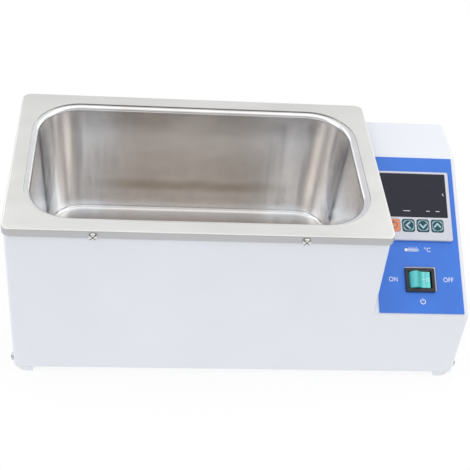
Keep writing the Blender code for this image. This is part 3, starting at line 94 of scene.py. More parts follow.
# Sheet sizes
CASING_SHEET = 0.001
CASING_BEND = 0.004
RIM_SHEET = 0.0008
RIM_CORNER = 0.0085
RIM_BEND = 0.0016
RIM_SPARE = 0.0012
PAN_SIDE_LAND = 0.0182
PAN_FRONT_LAND = 0.0187
PAN_LENGTH = TANK_RIGHT - LEFT - PAN_SIDE_LAND * 2
PAN_WIDTH = BACK - FRONT - PAN_FRONT_LAND * 2
PAN_CORNER = 0.0395
PAN_FLOOR = 0.058
PAN_SHEET = 0.0008
PAN_LIP = 0.004
PAN_CLEARANCE = 0.0018
PAN_FLANGE = 0.0085
PAN_FLOOR_BEND = 0.0045
PAN_DRAFT = math.radians(3.0)
PAN_WALL_RINGS = (0.02, 0.05)
PAN_LOW_RING = 0.012
STUD_RADIUS = 0.0024

# The drawn steel's painted reflection tints, cool at the ends and warm in the middle, from the pan's left end
# to its right, and how far noise shifts them
PAN_DRIFT = 0.03
PAN_REFLECTION_TINTS = (
    (0.0, (0.96, 0.98, 1.0)), (0.1, (0.965, 0.98, 1.0)), (0.2, (0.975, 0.985, 1.0)),
    (0.27, (0.955, 0.942, 0.935)), (0.5, (0.955, 0.942, 0.932)), (0.74, (0.955, 0.947, 0.94)),
    (0.82, (0.975, 0.985, 1.0)), (1.0, (0.92, 0.935, 0.96)),
)
# Painted highlights on the corners, placed as shares of the pan's length, with painted reflection streaks
# drawn down them
PAN_CORNER_HIGHLIGHT = ((0, 0), (0.06, 1), (0.19, 1), (0.27, 0), (0.73, 0), (0.8, 1), (0.9, 1), (1, 0))
# Where each of the pan's other tones, painted reflection and shade among them, fades in or out: over the
# floor, under the rim or in from a wall
STREAK_FOOT = (0.004, 0.012)
STREAK_HEAD = (0.016, 0.006)
FLOOR_BROWN_EDGE = (0.024, 0.014)
FLOOR_BROWN_HEIGHT = (0.0005, 0.002)
FLOOR_SHADE_HEIGHT = (0.0008, 0.0018)
LIP_SHADE_DEPTH = (0.006, 0.0035)
# Dark painted reflections stand where each end wall runs into a corner
MARK_START = (PAN_CORNER + 0.008, PAN_CORNER - 0.004)
MARK_STOP = (0.026, 0.012)
MARK_FOOT = (0.003, 0.02)
MARK_HEAD = (0.02, 0.006)
# A darker brownish band runs across the middle of the back wall
BAND_HEIGHT = 0.0925
BAND_FADE = (0.002, 0.009)
BAND_REACH = (0.05, 0.12)
BAND_WALL = (0.03, 0.02)

# The controller, whose places are in the panel's own frame; its front stands a little to the left
CONTROLLER_SIDE = 0.072
CONTROLLER_DROP = 0.0558
CONTROLLER_PLACE = SLOPE_LENGTH - CONTROLLER_DROP
CONTROLLER_SHIFT = -0.0008
CONTROLLER_FACE = PANEL @ Matrix.Translation((CONTROLLER_SHIFT, 0, 0))
CASE_SIDE = 0.067
CASE_CORNER = 0.0015
BEZEL_BASE = 0.0011
BEZEL_THICKNESS = 0.003
BEZEL_CORNER = 0.0016
BEZEL_EDGE = 0.0005
BEZEL_TOP = BEZEL_BASE + BEZEL_THICKNESS
WINDOW_LENGTH = 0.065
WINDOW_HEIGHT = 0.0456
WINDOW_CORNER = 0.0006
WINDOW_EDGE = 0.0002
WINDOW_MARGIN = 0.0025
WINDOW_THICKNESS = 0.002
WINDOW_RECESS = 0.0002
WINDOW_PLACE = CONTROLLER_PLACE + CONTROLLER_SIDE / 2 - WINDOW_MARGIN - WINDOW_HEIGHT / 2
KEY_NAMES = ("key_set", "key_shift", "key_down", "key_up")
KEY_WIDTH = 0.0119
KEY_HEIGHT = 0.0127
KEY_PITCH = 0.0143
KEY_RISE = 0.0149
KEY_PLACE = CONTROLLER_PLACE - CONTROLLER_SIDE / 2 + KEY_RISE
KEY_CORNER = 0.0022
KEY_EDGE = 0.0004
KEY_PROUD = 0.0004
KEY_COLLAR = 0.0008
KEY_GRAIN = 0.0003
# The bars lit in the display: left, right, place up the panel and height
DISPLAY_BARS = (
    (-0.0113, -0.0043, 0.1053, 0.0006), (0.0114, 0.0150, 0.1053, 0.0006), (0.0209, 0.0249, 0.1053, 0.0006),
    (0.0288, 0.0299, 0.1236, 0.0011), (0.0294, 0.0302, 0.1221, 0.0008),
)
# Print on the keys: radii, spans in degrees, and the chevron's half span, back, tip and line
TURN_RADII = (0.0036, 0.0024)
TURN_SPAN = (-130, 100)
TURN_POINT = ((-0.0032, 0.0031), (0.0002, 0.0052), (0.0002, 0.0010))
RING_RADII = (0.0054, 0.005)
CORNER_RADII = (0.006, 0.0048)
CORNER_SPAN = 20
CHEVRON = (0.0034, 0.0016, 0.0022, 0.0016)

# The switch, also in the panel's frame
SWITCH_PLACE = 0.0353
SWITCH_LENGTH = 0.0286
SWITCH_WIDTH = 0.0238
SWITCH_FLANGE = 0.002
SWITCH_CORNER = 0.0012
SWITCH_EDGE = 0.0005
SWITCH_TOP = BEZEL_BASE + SWITCH_FLANGE
SWITCH_BODY_LENGTH = 0.0266
SWITCH_BODY_WIDTH = 0.021
SWITCH_BODY_DEPTH = 0.022
SWITCH_BODY_CORNER = 0.0006
POCKET_LENGTH = 0.0224
POCKET_WIDTH = 0.0167
POCKET_DEPTH = 0.0142
POCKET_CORNER = 0.0005
PIVOT_DROP = 0.0058
PIVOT_HEIGHT = SWITCH_TOP - PIVOT_DROP
ROCKER_RADIUS = POCKET_LENGTH / 2 - GAP
ROCKER_VALLEY = 0.0062
ROCKER_THICKNESS = 0.0102
ROCKER_TILT = math.radians(16.5)
ROCKER_STEPS = 14
TRUNNION_RADIUS = 0.0014
TRUNNION_PLAY = 0.0002
# Print on the rocker: the ring's radii, the bar's length, width and corner, and their places on the facet
ROCKER_RING = (0.0018, 0.00135)
ROCKER_RING_PLACE = 0.0054
ROCKER_BAR = (0.0022, 0.0006, 0.0002)
ROCKER_BAR_PLACE = 0.0015

# The film, between its margins on the slope, and its wide window for the switch
FILM_FOOT = 0.0026
FILM_HEAD = 0.0033
FILM_CORNER = 0.0006
FILM_THICKNESS = 0.0005
SWITCH_WINDOW_SPARE = 0.0019
# Print on the film: name, text, height, width and place; then the places of the two signs
WORDS = (
    ("mark_on", "ON", 0.0046, 0.0082, (-0.0257, 0.0360)),
    ("mark_off", "OFF", 0.0046, 0.0098, (0.0281, 0.0364)),
    ("mark_degrees", "°C", 0.0044, 0.0062, (0.0098, 0.0666)),
)
THERMOMETER_PLACE = (-0.005, 0.0660)
POWER_SIGN_PLACE = (0.0017, 0.0143)
# The thermometer sign: a bulb, a stem, a tube round the stem and ticks beside it
BULB_RADIUS = 0.0016
BULB_PLACE = -0.0062
STEM = (0.0108, 0.0009, 0.0004)
STEM_PLACE = -0.0005
TUBE_LENGTH = 0.0096
TUBE_RADIUS = 0.00125
TUBE_LINE = 0.0004
TICKS = 4
TICK_START = -0.003
TICK_PITCH = 0.0024
TICK_SPAN = (0.0019, 0.0031)
TICK_WIDTH = 0.0005
# The power sign: an open ring and an upright bar
POWER_RADII = (0.0027, 0.0020)
POWER_SPAN = (125, 415)
POWER_BAR = (0.0007, 0.0030, 0.0003)
POWER_BAR_PLACE = 0.0018

# The mains inlet, in a frame that faces backwards
INLET_HEIGHT = 0.048
INLET = Matrix.Translation((BOX_MIDDLE, BACK, INLET_HEIGHT)) @ BACKWARDS
INLET_FLANGE = (0.05, 0.034, 0.0025)
INLET_FLANGE_CORNER = 0.004
INLET_FLANGE_EDGE = 0.0007
INLET_BODY = (0.028, 0.031, 0.024)
INLET_BODY_CORNER = 0.002
INLET_SCREW_PLACE = 0.02
PIN_NAMES = ("live", "neutral", "earth")
PIN_TAPER = 0.0012
SOCKET = (0.0242, 0.016, 0.018)
SOCKET_CHAMFER = 0.004
SOCKET_RISE = 0.0052
DRAWER = (0.0236, 0.008, 0.016)
DRAWER_DROP = 0.0092
DRAWER_LIP = 0.0009
DRAWER_WALL = 0.001
GROOVE = (0.006, 0.0012)
FUSE_RADIUS = 0.0025
FUSE_LENGTH = 0.02
FUSE_CAP = 0.0052
INLET_FACE = GAP + INLET_FLANGE[2]

# Screws: head radius, head height, shank radius, shank length
RIM_SCREW = (0.0038, 0.0022, 0.0015, 0.007)
SIDE_SCREW = (0.0037, 0.0024, 0.0018, 0.0055)
FOOT_SCREW = (0.0036, 0.0024, 0.0019, 0.0063)
INLET_SCREW = (0.0028, 0.0018, 0.0014, 0.009)
SCREW_PLAY = 0.0003
# Screw heads, as shares of the head's radius or height: the crown, the brim and the recess's slots
CROWN_SHARE = 0.62
BRIM_SHARE = 0.36
CROWN_HEIGHTS = ((0.5, 0.995), (1, 0.985))
HEAD_STEPS = 8
HEAD_EDGE = 0.0001
SHANK_TIP_SHARE = 0.4
SLOT_REACH = 1.5
SLOT_WIDTH = 0.2
SLOT_DEPTH = 0.75
SLOT_TAPER = 0.55
SLOT_TURNS = (45, 135)
RECESS_MARGIN = 1.02
RECESS_TOP = 0.97

# Feet
FOOT_CORNER = 0.013
FOOT_STEPS = 12

# The floor's painted pool of light, a glow in an ellipse about a point behind the bath, fades between two
# shares of its reach
POOL_SHIFT = 0.25
POOL_HALF_WIDTH = 0.8
POOL_HALF_DEPTH = 0.5
POOL_FADE = (1.05, 1.35)
POOL_DULL = 0.85
# The floor runs up into a low wall all round, as (distance from the edge, height)
FLOOR_SIDE = 12.0
FLOOR_SWEEP = ((1.6, 0), (1.2, 0.04), (0.8, 0.16), (0.45, 0.4), (0.15, 0.85), (0, 1.4), (0, 2.2))
# The sky is brightest overhead and behind, and dull behind the camera
SKY_LEAN = (0, 0.45, 0.9)
SKY_TONES = ((0.0, (0.36, 0.35, 0.345)), (0.5, (0.97, 0.97, 0.97)))
# Area lights: name, place, size, and the setting with their power
LIGHTS = (
    ("softbox_top", (0.1, 0.3, 1.9), (2.2, 1.8), "softbox"),
    ("softbox_left", (-1.6, -0.3, 1.4), (1.1, 1.6), "side_light"),
    ("softbox_right", (1.6, -0.3, 1.4), (1.1, 1.6), "side_light"),
    ("softbox_back_left", (-1.3, 1.3, 1.2), (0.9, 1.4), "back_light"),
    ("softbox_back_right", (1.3, 1.3, 1.2), (0.9, 1.4), "back_light"),
    ("fill", (-0.4, -2.3, 1.9), (2.4, 1.8), "fill"),
)
LIGHT_AIM = Vector((0, 0, 0.1))
CAMERA_CLIP = (0.05, 30.0)

# Settings


def colour(name, description, default):
    return FloatVectorProperty(
        name=name, description=description, default=default, subtype="COLOR", size=3, min=0.0, max=1.0
    )


def count_setting(name, description, default, low, high):
    return IntProperty(name=name, description=description, default=default, min=low, max=high)


def length_setting(name, description, default, high):
    return FloatProperty(
        name=name, description=description, default=default, min=0.0, max=high, unit="LENGTH", precision=6
    )


def strength_setting(name, description, default, high):
    return FloatProperty(name=name, description=description, default=default, min=0.0, max=high)


def power_setting(name, description, default):
    return FloatProperty(name=name, description=description, default=default, min=0.0, unit="POWER")


def angle_setting(name, description, degrees):
    return FloatProperty(name=name, description=description, default=math.radians(degrees), subtype="ANGLE")


class BathFinishes(bpy.types.PropertyGroup):
    """Colours of the bath's finishes."""

    paint: colour("Casing paint", "White powder coat on the casing and base", (0.8, 0.825, 0.885))
    rim_steel: colour("Rim steel", "Brushed plate round the opening", (0.735, 0.732, 0.72))
    # Painted shade: the folded skirt is painted darker than the top of the plate
    rim_skirt_shade: colour("Rim skirt", "Duller folded edge of the plate", (0.52, 0.52, 0.535))
    # The pan's lighter tone is also the painted highlight on its corners
    pan_steel: colour("Pan steel", "Lighter tone of the drawn pan", (0.99, 0.99, 0.99))
    pan_shade: colour("Pan shade", "Darker, warmer tone of the drawn pan", (0.85, 0.84, 0.835))
    # Painted reflection: the dark bands beside the pan's corners
    pan_dark_reflection: colour("Draw marks", "Dark bands of the drawn corners", (0.53, 0.53, 0.55))
    # A brown tint that also paints shade on the middle of the floor
    pan_floor_brown_shade: colour("Heat tint", "Brown tint of the floor over the heater", (0.74, 0.69, 0.64))
    # Painted shade: the rolled lip is painted darker than the walls
    pan_lip_shade: colour("Lip of the pan", "Tone of the rolled lip against the walls", (0.88, 0.875, 0.875))
    # Painted reflection: the darker streaks down the pan's corners
    pan_reflection_streak: colour("Streaks in the pan", "Darker streaks drawn down the corners", (0.8, 0.8, 0.81))
    # Painted shade: the pan's floor is painted darker than its walls
    pan_foot: colour("Floor of the pan", "Tone of the floor against the walls", (0.78, 0.77, 0.76))
    # A darker brownish band across the middle of the back wall
    pan_back_wall_band: colour("Water band", "Brownish band left by the water on the back wall", (0.74, 0.7, 0.64))
    film: colour("Panel film", "Blue film on the sloped panel", (0.03, 0.178, 0.71))
    ink: colour("Panel print", "White print on the panel", (0.86, 0.89, 0.94))
    bezel: colour("Controller bezel", "Pale moulding round the window and keys", (0.65, 0.665, 0.73))
    window: colour("Display window", "Smoked window over the dark display", (0.003, 0.0045, 0.017))
    key: colour("Arrow keys", "Dark teal key caps", (0.02, 0.082, 0.1))
    key_print: colour("Arrow print", "Pale print on the arrow keys", (0.42, 0.60, 0.66))
    set_key: colour("Set key", "Orange key cap", (0.76, 0.28, 0.15))
    rocker: colour("Rocker", "Translucent green rocker", (0.03, 0.56, 0.54))
    black: colour("Black mouldings", "Switch frame, inlet and controller case", (0.014, 0.012, 0.018))


class BathDetails(bpy.types.PropertyGroup):
    """Sizes of the fine detail."""

    bend_steps: count_setting("Bend steps", "Faces round each bend of the casing", 6, 2, 12)
    corner_steps: count_setting("Corner steps", "Faces round each corner of the pan and rim", 24, 6, 48)
    edge: length_setting("Moulded edge", "Radius on the edges of small mouldings", 0.00025, 0.001)
    peel: length_setting("Orange peel", "Depth of the powder coat's texture", 0.00005, 0.001)
    brush: length_setting("Brush depth", "Depth of the brushed lines in the steel", 0.00002, 0.001)
    relief: length_setting("Key relief", "How far print stands up on the keys and rocker", 0.00008, 0.0005)


class BathStage(bpy.types.PropertyGroup):
    """The floor, the light and the camera."""

    sky: strength_setting("Sky", "Strength of the light from all round", 0.89, 4.0)
    softbox: power_setting("Softbox", "Power of the large light overhead", 5.5)
    side_light: power_setting("Side lights", "Power of the light on either side", 4.5)
    back_light: power_setting("Back lights", "Power of the lights behind on either side", 4.8)
    fill: power_setting("Fill", "Power of the broad light in front", 8.0)
    floor: colour("Floor", "Tone of the plain floor", (0.2, 0.2, 0.2))
    floor_glow: strength_setting("Floor glow", "Light that the white floor gives off", 0.8, 2.0)
    place: FloatVectorProperty(
        name="Camera", description="Where the camera stands", default=(-0.10276, -0.77968, 0.76329),
        subtype="XYZ", unit="LENGTH", size=3,
    )
    yaw: angle_setting("Yaw", "Turn to the right", 7.27)
    pitch: angle_setting("Pitch", "Tilt downwards", 40.56)
    roll: angle_setting("Roll", "Lean of the frame", 6.19)
    focal: FloatProperty(
        name="Focal length", description="In pixels of the photograph's frame", default=1039.15, min=100.0
    )


# Finishes


class Finish:
    """A node material round one Principled shader. Places are in metres, in the piece's own frame."""

    def __init__(self, name, tone, roughness, metallic=0.0, **sockets):
        self.material = bpy.data.materials.new(name)
        self.material.use_nodes = True
        self.nodes = self.material.node_tree.nodes
        self.links = self.material.node_tree.links
        self.shader = self.nodes["Principled BSDF"]
        self.shader.inputs["Base Color"].default_value = (*tone, 1)
        self.shader.inputs["Roughness"].default_value = roughness
        self.shader.inputs["Metallic"].default_value = metallic
        self.material.diffuse_color = (*tone, 1)
        for key, value in sockets.items():
            self.shader.inputs[key.replace("_", " ")].default_value = value
        self.place = self.nodes.new("ShaderNodeTexCoord").outputs["Object"]
        self.normal = None

    def feed(self, socket, value):
        """A link from another socket, or a value set on this one."""
        if isinstance(value, bpy.types.NodeSocket):
            self.links.new(value, socket)
        else:
            socket.default_value = value

    def add(self, kind, **values):
        """A new node; values go to its sockets by name, with _ for a space, or to its settings."""
        node = self.nodes.new("ShaderNode" + kind)
        for key, value in values.items():
            socket = node.inputs.get(key.replace("_", " "))
            if socket is None:
                setattr(node, key, value)
            else:
                self.feed(socket, value)
        return node

    def noise(self, size, stretch=(1, 1, 1), detail=2.0, rough=0.5):
        """Noise whose grains are about size long, drawn out along each axis by stretch."""
        grid = self.add("Mapping", Vector=self.place, Scale=[1 / (size * s) for s in stretch]).outputs[0]
        return self.add("TexNoise", Vector=grid, Scale=1.0, Detail=detail, Roughness=rough).outputs[0]

    def spread(self, factor, low, high, start=0.3, stop=0.7):
        """A factor stretched to run from low to high."""
        node = self.add("MapRange", Value=factor, From_Min=start, From_Max=stop, To_Min=low, To_Max=high)
        return node.outputs["Result"]

    def rise(self, value, start, stop):
        """0 up to start and 1 from stop on."""
        return self.spread(value, 0, 1, start, stop)

    def fall(self, value, start, stop):
        """1 up to start and 0 from stop on."""
        return self.spread(value, 1, 0, start, stop)

    def math(self, operation, first, second=0.0):
        node = self.nodes.new("ShaderNodeMath")
        node.operation = operation
        self.feed(node.inputs[0], first)
        self.feed(node.inputs[1], second)
        return node.outputs[0]

    def times(self, first, *others):
        """The product of two or more factors."""
        for other in others:
            first = self.math("MULTIPLY", first, other)
        return first

    def blend(self, first, second, share):
        """Two factors added in the given shares, the second one's share last."""
        return self.math("ADD", self.times(first, 1 - share), self.times(second, share))

    def mix(self, factor, first, second, blend="MIX"):
        """A colour between two, which may be colours or sockets."""
        node = self.nodes.new("ShaderNodeMix")
        node.data_type = "RGBA"
        node.blend_type = blend
        self.feed(node.inputs[0], factor)
        for socket, value in ((node.inputs[6], first), (node.inputs[7], second)):
            self.feed(socket, value if isinstance(value, bpy.types.NodeSocket) else (*value, 1))
        return node.outputs[2]

    def tinted(self, base, factor, tone):
        """The base multiplied by a tone where the factor is 1, and left as it is where it is 0."""
        return self.mix(1.0, self.mix(factor, (1, 1, 1), tone), base, "MULTIPLY")

    def ramp(self, factor, stops):
        """Colours along a factor."""
        return colour_ramp(self.nodes, self.links, factor, stops)

    def axis(self, name):
        """One coordinate of the place."""
        return self.add("SeparateXYZ", Vector=self.place).outputs[name]

    def paint(self, tone):
        self.links.new(tone, self.shader.inputs["Base Color"])

    def cloud(self, factor, dark, pale):
        """Paint that goes from dark to pale as the factor grows."""
        self.paint(self.mix(self.spread(factor, 0, 1), dark, pale))

    def gloss(self, factor, low, high, start=0.3, stop=0.7):
        """Roughness that follows a factor."""
        self.links.new(self.spread(factor, low, high, start, stop), self.shader.inputs["Roughness"])

    def bump(self, height, depth, strength=1.0):
        """Relief of the given depth, on top of any relief already there."""
        node = self.add("Bump", Height=height, Distance=depth, Strength=strength)
        if self.normal:
            self.links.new(self.normal, node.inputs["Normal"])
        self.normal = node.outputs[0]
        self.links.new(self.normal, self.shader.inputs["Normal"])


def colour_ramp(nodes, links, factor, stops):
    """A colour ramp along a factor: stops are (place, colour)."""
    node = nodes.new("ShaderNodeValToRGB")
    links.new(factor, node.inputs[0])
    elements = node.color_ramp.elements
    while len(elements) < len(stops):
        elements.new(0.5)
    for element, (place, tone) in zip(elements, stops):
        element.position = place
        element.color = (*tone, 1)
    return node.outputs[0]


def shade(tone, share):
    return tuple(min(1.0, part * share) for part in tone)


MADE = {}


def finish(maker):
    """The material that a maker gives, made once."""
    if maker.__name__ not in MADE:
        MADE[maker.__name__] = maker(bpy.context.scene.bath_finishes, bpy.context.scene.bath_details)
    return MADE[maker.__name__]


def powder_coat(finishes, details):
    look = Finish("powder_coat", finishes.paint, 0.36, Coat_Weight=0.12, Coat_Roughness=0.22)
    look.cloud(look.noise(0.06, detail=3), shade(finishes.paint, 0.985), shade(finishes.paint, 1.01))
    peel = look.noise(0.0011, detail=1.5)
    look.gloss(peel, 0.31, 0.4)
    look.bump(peel, details.peel, 0.5)
    return look.material


def brushed_plate(finishes, details):
    """Steel brushed along the plate, with painted shade darkening the folded skirt."""
    look = Finish("brushed_plate", finishes.rim_steel, 0.36, 1.0)
    lines = look.noise(0.0005, (60, 1, 1), detail=3, rough=0.6)
    worn = look.blend(look.noise(0.03, (3, 1, 1), detail=3), lines, 0.45)
    tone = look.spread(worn, 0, 1)
    top = look.mix(tone, shade(finishes.rim_steel, 0.94), shade(finishes.rim_steel, 1.04))
    # Painted shade on the skirt below the top bend
    fold = look.mix(tone, shade(finishes.rim_skirt_shade, 0.95), shade(finishes.rim_skirt_shade, 1.05))
    look.paint(look.mix(look.rise(look.axis("Z"), RIM_TOP - RIM_BEND, RIM_TOP - RIM_BEND / 8), fold, top))
    look.gloss(worn, 0.32, 0.42)
    look.bump(lines, details.brush, 0.3)
    return look.material


def over_floor(heights):
    return [PAN_FLOOR + height for height in heights]


def under_rim(depths):
    return [RIM_TOP - depth for depth in depths]


def off_wall(insets):
    """Distances from the pan's middle line, given inwards from its long walls."""
    return [PAN_WIDTH / 2 - inset for inset in insets]


def drawn_steel(finishes, details):
    """The pan's steel, with painted highlights on the corners, painted reflection streaks down them, dark
    painted reflections beside them, a brownish band and a floor darkened with painted shade.
    """
    look = Finish("drawn_steel", finishes.pan_steel, 0.15, 1.0)
    x, y, z = (look.axis(name) for name in "XYZ")
    aside = look.math("ABSOLUTE", y)
    draw = look.noise(0.0022, (1, 1, 45), rough=0.6)
    worn = look.blend(look.noise(0.05, (1.5, 1.5, 0.8)), draw, 0.2)
    drift = look.times(look.noise(0.05, (1, 1, 2), detail=1), PAN_DRIFT)
    ends = [end + PAN_DRIFT / 2 for end in (LEFT + PAN_SIDE_LAND, TANK_RIGHT - PAN_SIDE_LAND)]
    along = look.rise(look.math("ADD", x, drift), *ends)
    # Painted highlight: the corners take the pan's lighter tone
    corner = look.ramp(along, [(place, (bright,) * 3) for place, bright in PAN_CORNER_HIGHLIGHT])
    cloud = look.math("MAXIMUM", look.rise(worn, 0.35, 0.65), corner)
    steel = look.mix(cloud, finishes.pan_shade, finishes.pan_steel)
    # Painted reflection: darker streaks drawn down the bright corners
    streak = look.fall(look.noise(0.011, (1, 1, 14), detail=1), 0.38, 0.58)
    walls = look.times(look.rise(z, *over_floor(STREAK_FOOT)), look.fall(z, *under_rim(STREAK_HEAD)))
    steel = look.tinted(steel, look.times(corner, walls, streak), finishes.pan_reflection_streak)
    # Painted reflection: cool tints at the ends and warm in the middle, along the pan
    steel = look.mix(1.0, look.ramp(along, PAN_REFLECTION_TINTS), steel, "MULTIPLY")
    # Brown tint and painted shade on the floor, away from the long walls
    brown_floor_shade = look.times(look.fall(aside, *off_wall(FLOOR_BROWN_EDGE)), look.fall(z, *over_floor(FLOOR_BROWN_HEIGHT)))
    steel = look.tinted(steel, brown_floor_shade, finishes.pan_floor_brown_shade)
    # Painted shade: the floor darker than the walls
    steel = look.tinted(steel, look.fall(z, *over_floor(FLOOR_SHADE_HEIGHT)), finishes.pan_foot)
    # Painted shade on the rolled lip under the rim
    steel = look.tinted(steel, look.rise(z, *under_rim(LIP_SHADE_DEPTH)), finishes.pan_lip_shade)
    # Painted reflection: dark bands beside the corners of the end walls
    steel = look.tinted(steel, painted_dark_reflections(look, aside, z), finishes.pan_dark_reflection)
    # A darker brownish band across the middle of the back wall
    look.paint(look.tinted(steel, back_wall_band(look, x, y, z), finishes.pan_back_wall_band))
    look.gloss(worn, 0.18, 0.26, 0.35, 0.65)
    look.bump(draw, details.brush, 0.05)
    return look.material


def painted_dark_reflections(look, aside, z):
    """1 on the wavering bands of painted dark reflection beside the corners of the end walls, 0 elsewhere."""
    waver = look.times(look.noise(0.02, (1, 1, 4), detail=1), 0.006)
    across = look.math("ADD", aside, waver)
    beside = look.times(look.rise(across, *off_wall(MARK_START)), look.fall(across, *off_wall(MARK_STOP)))
    return look.times(beside, look.rise(z, *over_floor(MARK_FOOT)), look.fall(z, *under_rim(MARK_HEAD)))


def back_wall_band(look, x, y, z):
    """1 on a soft wavering band across the middle of the back wall, 0 elsewhere."""
    height = look.math("ADD", z, look.times(look.noise(0.03, (1, 1, 2)), 0.008))
    off = look.math("ABSOLUTE", look.math("SUBTRACT", height, BAND_HEIGHT))
    beside = look.math("ABSOLUTE", look.math("SUBTRACT", x, TANK_MIDDLE))
    rear = look.rise(y, *off_wall(BAND_WALL))
    return look.times(look.fall(off, *BAND_FADE), look.fall(beside, *BAND_REACH), rear)


def bright_steel(finishes, details):
    look = Finish("bright_steel", (0.76, 0.755, 0.74), 0.18, 1.0)
    wear = look.noise(0.0012, detail=3)
    look.cloud(wear, (0.7, 0.695, 0.68), (0.8, 0.795, 0.78))
    look.gloss(wear, 0.12, 0.26)
    look.bump(look.noise(0.0003), details.brush, 0.15)
    return look.material


# Painted shade: the cross recess is painted near black
def screw_recess(finishes, details):
    look = Finish("screw_recess", (0.05, 0.05, 0.055), 0.5, 0.8)
    recess_shade_mottle = look.noise(0.0004)
    look.cloud(recess_shade_mottle, (0.02, 0.02, 0.022), (0.11, 0.11, 0.12))
    look.gloss(recess_shade_mottle, 0.4, 0.7)
    return look.material


def zinc_plate(finishes, details):
    look = Finish("zinc_plate", (0.62, 0.63, 0.64), 0.38, 1.0)
    spangle = look.add("TexVoronoi", Vector=look.place, Scale=160.0).outputs["Color"]
    grey = look.add("RGBToBW", Color=spangle).outputs[0]
    look.paint(look.mix(grey, (0.56, 0.57, 0.58), (0.68, 0.69, 0.7)))
    look.gloss(look.noise(0.004, detail=3), 0.3, 0.48)
    return look.material


def panel_film(finishes, details):
    look = Finish("panel_film", finishes.film, 0.4, Coat_Weight=0.15, Coat_Roughness=0.35)
    look.cloud(look.noise(0.03), shade(finishes.film, 0.96), shade(finishes.film, 1.05))
    grain = look.noise(0.0004, detail=1)
    look.gloss(grain, 0.36, 0.46)
    look.bump(grain, details.brush, 0.25)
    return look.material


def white_print(finishes, details):
    look = Finish("white_print", finishes.ink, 0.5)
    look.cloud(look.noise(0.0005), shade(finishes.ink, 0.95), finishes.ink)
    return look.material


def moulding(name, tone, roughness, details, grain_size=0.0004, **sockets):
    """A moulded plastic with a fine spark-eroded grain and slight clouding."""
    look = Finish(name, tone, roughness, **sockets)
    look.cloud(look.noise(0.02, detail=3), shade(tone, 0.96), shade(tone, 1.03))
    grain = look.noise(grain_size)
    look.gloss(grain, roughness - 0.05, roughness + 0.06)
    look.bump(grain, details.brush, 0.4)
    return look.material


def bezel_plastic(finishes, details):
    return moulding("bezel_plastic", finishes.bezel, 0.46, details)


def black_plastic(finishes, details):
    return moulding("black_plastic", finishes.black, 0.38, details)


def foot_plastic(finishes, details):
    return moulding("foot_plastic", (0.8, 0.82, 0.85), 0.5, details)


def key_plastic(finishes, details):
    return moulding("key_plastic", finishes.key, 0.42, details, KEY_GRAIN, Specular_IOR_Level=0.2)


def key_ink(finishes, details):
    return moulding("key_ink", finishes.key_print, 0.5, details, KEY_GRAIN)


def set_key_plastic(finishes, details):
    return moulding("set_key_plastic", finishes.set_key, 0.4, details, KEY_GRAIN)


def set_key_ink(finishes, details):
    return moulding("set_key_ink", shade(finishes.set_key, 0.55), 0.5, details, KEY_GRAIN)


def smoked_window(finishes, details):
    look = Finish("smoked_window", finishes.window, 0.14, Specular_IOR_Level=0.38)
    haze = look.noise(0.012, detail=4)
    look.cloud(haze, shade(finishes.window, 0.9), shade(finishes.window, 1.15))
    look.gloss(haze, 0.1, 0.17)
    look.bump(look.noise(0.006, detail=1), details.brush, 0.1)
    return look.material


def rocker_plastic(finishes, details):
    """A green translucent cap with painted highlight and shade: lighter bands across it and a darker middle.
    """
    look = Finish("rocker_plastic", finishes.rocker, 0.16, Coat_Weight=0.5, Coat_Roughness=0.06,
                  Subsurface_Weight=0.25, Subsurface_Scale=0.004)
    # Painted highlight and shade: the pale tone paints highlight bands, the deep tone the shade in the middle
    deep, pale = shade(finishes.rocker, 0.72), (0.2, 0.76, 0.76)
    across = look.math("SUBTRACT", look.axis("X"), BOX_MIDDLE - ROCKER_RADIUS)
    bands = look.ramp(look.math("DIVIDE", across, ROCKER_RADIUS * 2), (
        (0.0, (0.1, 0.66, 0.66)), (0.22, pale), (0.31, (0.08, 0.62, 0.6)), (0.36, deep), (0.5, deep),
        (0.56, (0.08, 0.6, 0.58)), (0.64, pale), (0.72, (0.1, 0.62, 0.6)), (0.86, pale),
        (1.0, finishes.rocker),
    ))
    ribs = look.noise(0.0011, (1, 30, 30))
    look.paint(look.mix(look.spread(ribs, 0.0, 0.35), bands, finishes.rocker))
    look.gloss(look.noise(0.003), 0.12, 0.22)
    look.bump(ribs, details.brush, 0.2)
    return look.material


def rocker_ink(finishes, details):
    look = Finish("rocker_ink", (0.62, 0.93, 0.87), 0.4)
    look.gloss(look.noise(0.0005), 0.35, 0.5)
    return look.material


def brass(finishes, details):
    look = Finish("brass", (0.78, 0.6, 0.3), 0.28, 1.0)
    tarnish = look.noise(0.002, detail=4)
    look.cloud(tarnish, (0.66, 0.48, 0.22), (0.82, 0.65, 0.34))
    look.gloss(tarnish, 0.2, 0.4)
    return look.material


def cast_aluminium(finishes, details):
    look = Finish("cast_aluminium", (0.7, 0.71, 0.72), 0.45, 1.0)
    sand = look.noise(0.0009, detail=4, rough=0.7)
    look.cloud(sand, (0.6, 0.61, 0.62), (0.74, 0.75, 0.76))
    look.gloss(sand, 0.38, 0.58)
    look.bump(sand, 0.0001, 0.4)
    return look.material


def mineral_wool(finishes, details):
    look = Finish("mineral_wool", (0.72, 0.66, 0.45), 0.95, Sheen_Weight=0.3)
    fibres = look.noise(0.0016, (5, 5, 1), detail=6, rough=0.7)
    look.cloud(fibres, (0.55, 0.48, 0.3), (0.8, 0.75, 0.56))
    look.bump(fibres, 0.0012, 0.7)
    return look.material


def ceramic(finishes, details):
    look = Finish("ceramic", (0.86, 0.84, 0.79), 0.3, Coat_Weight=0.2)
    speck = look.noise(0.0015, detail=4)
    look.cloud(speck, (0.8, 0.78, 0.72), (0.88, 0.86, 0.82))
    look.gloss(speck, 0.24, 0.4)
    return look.material


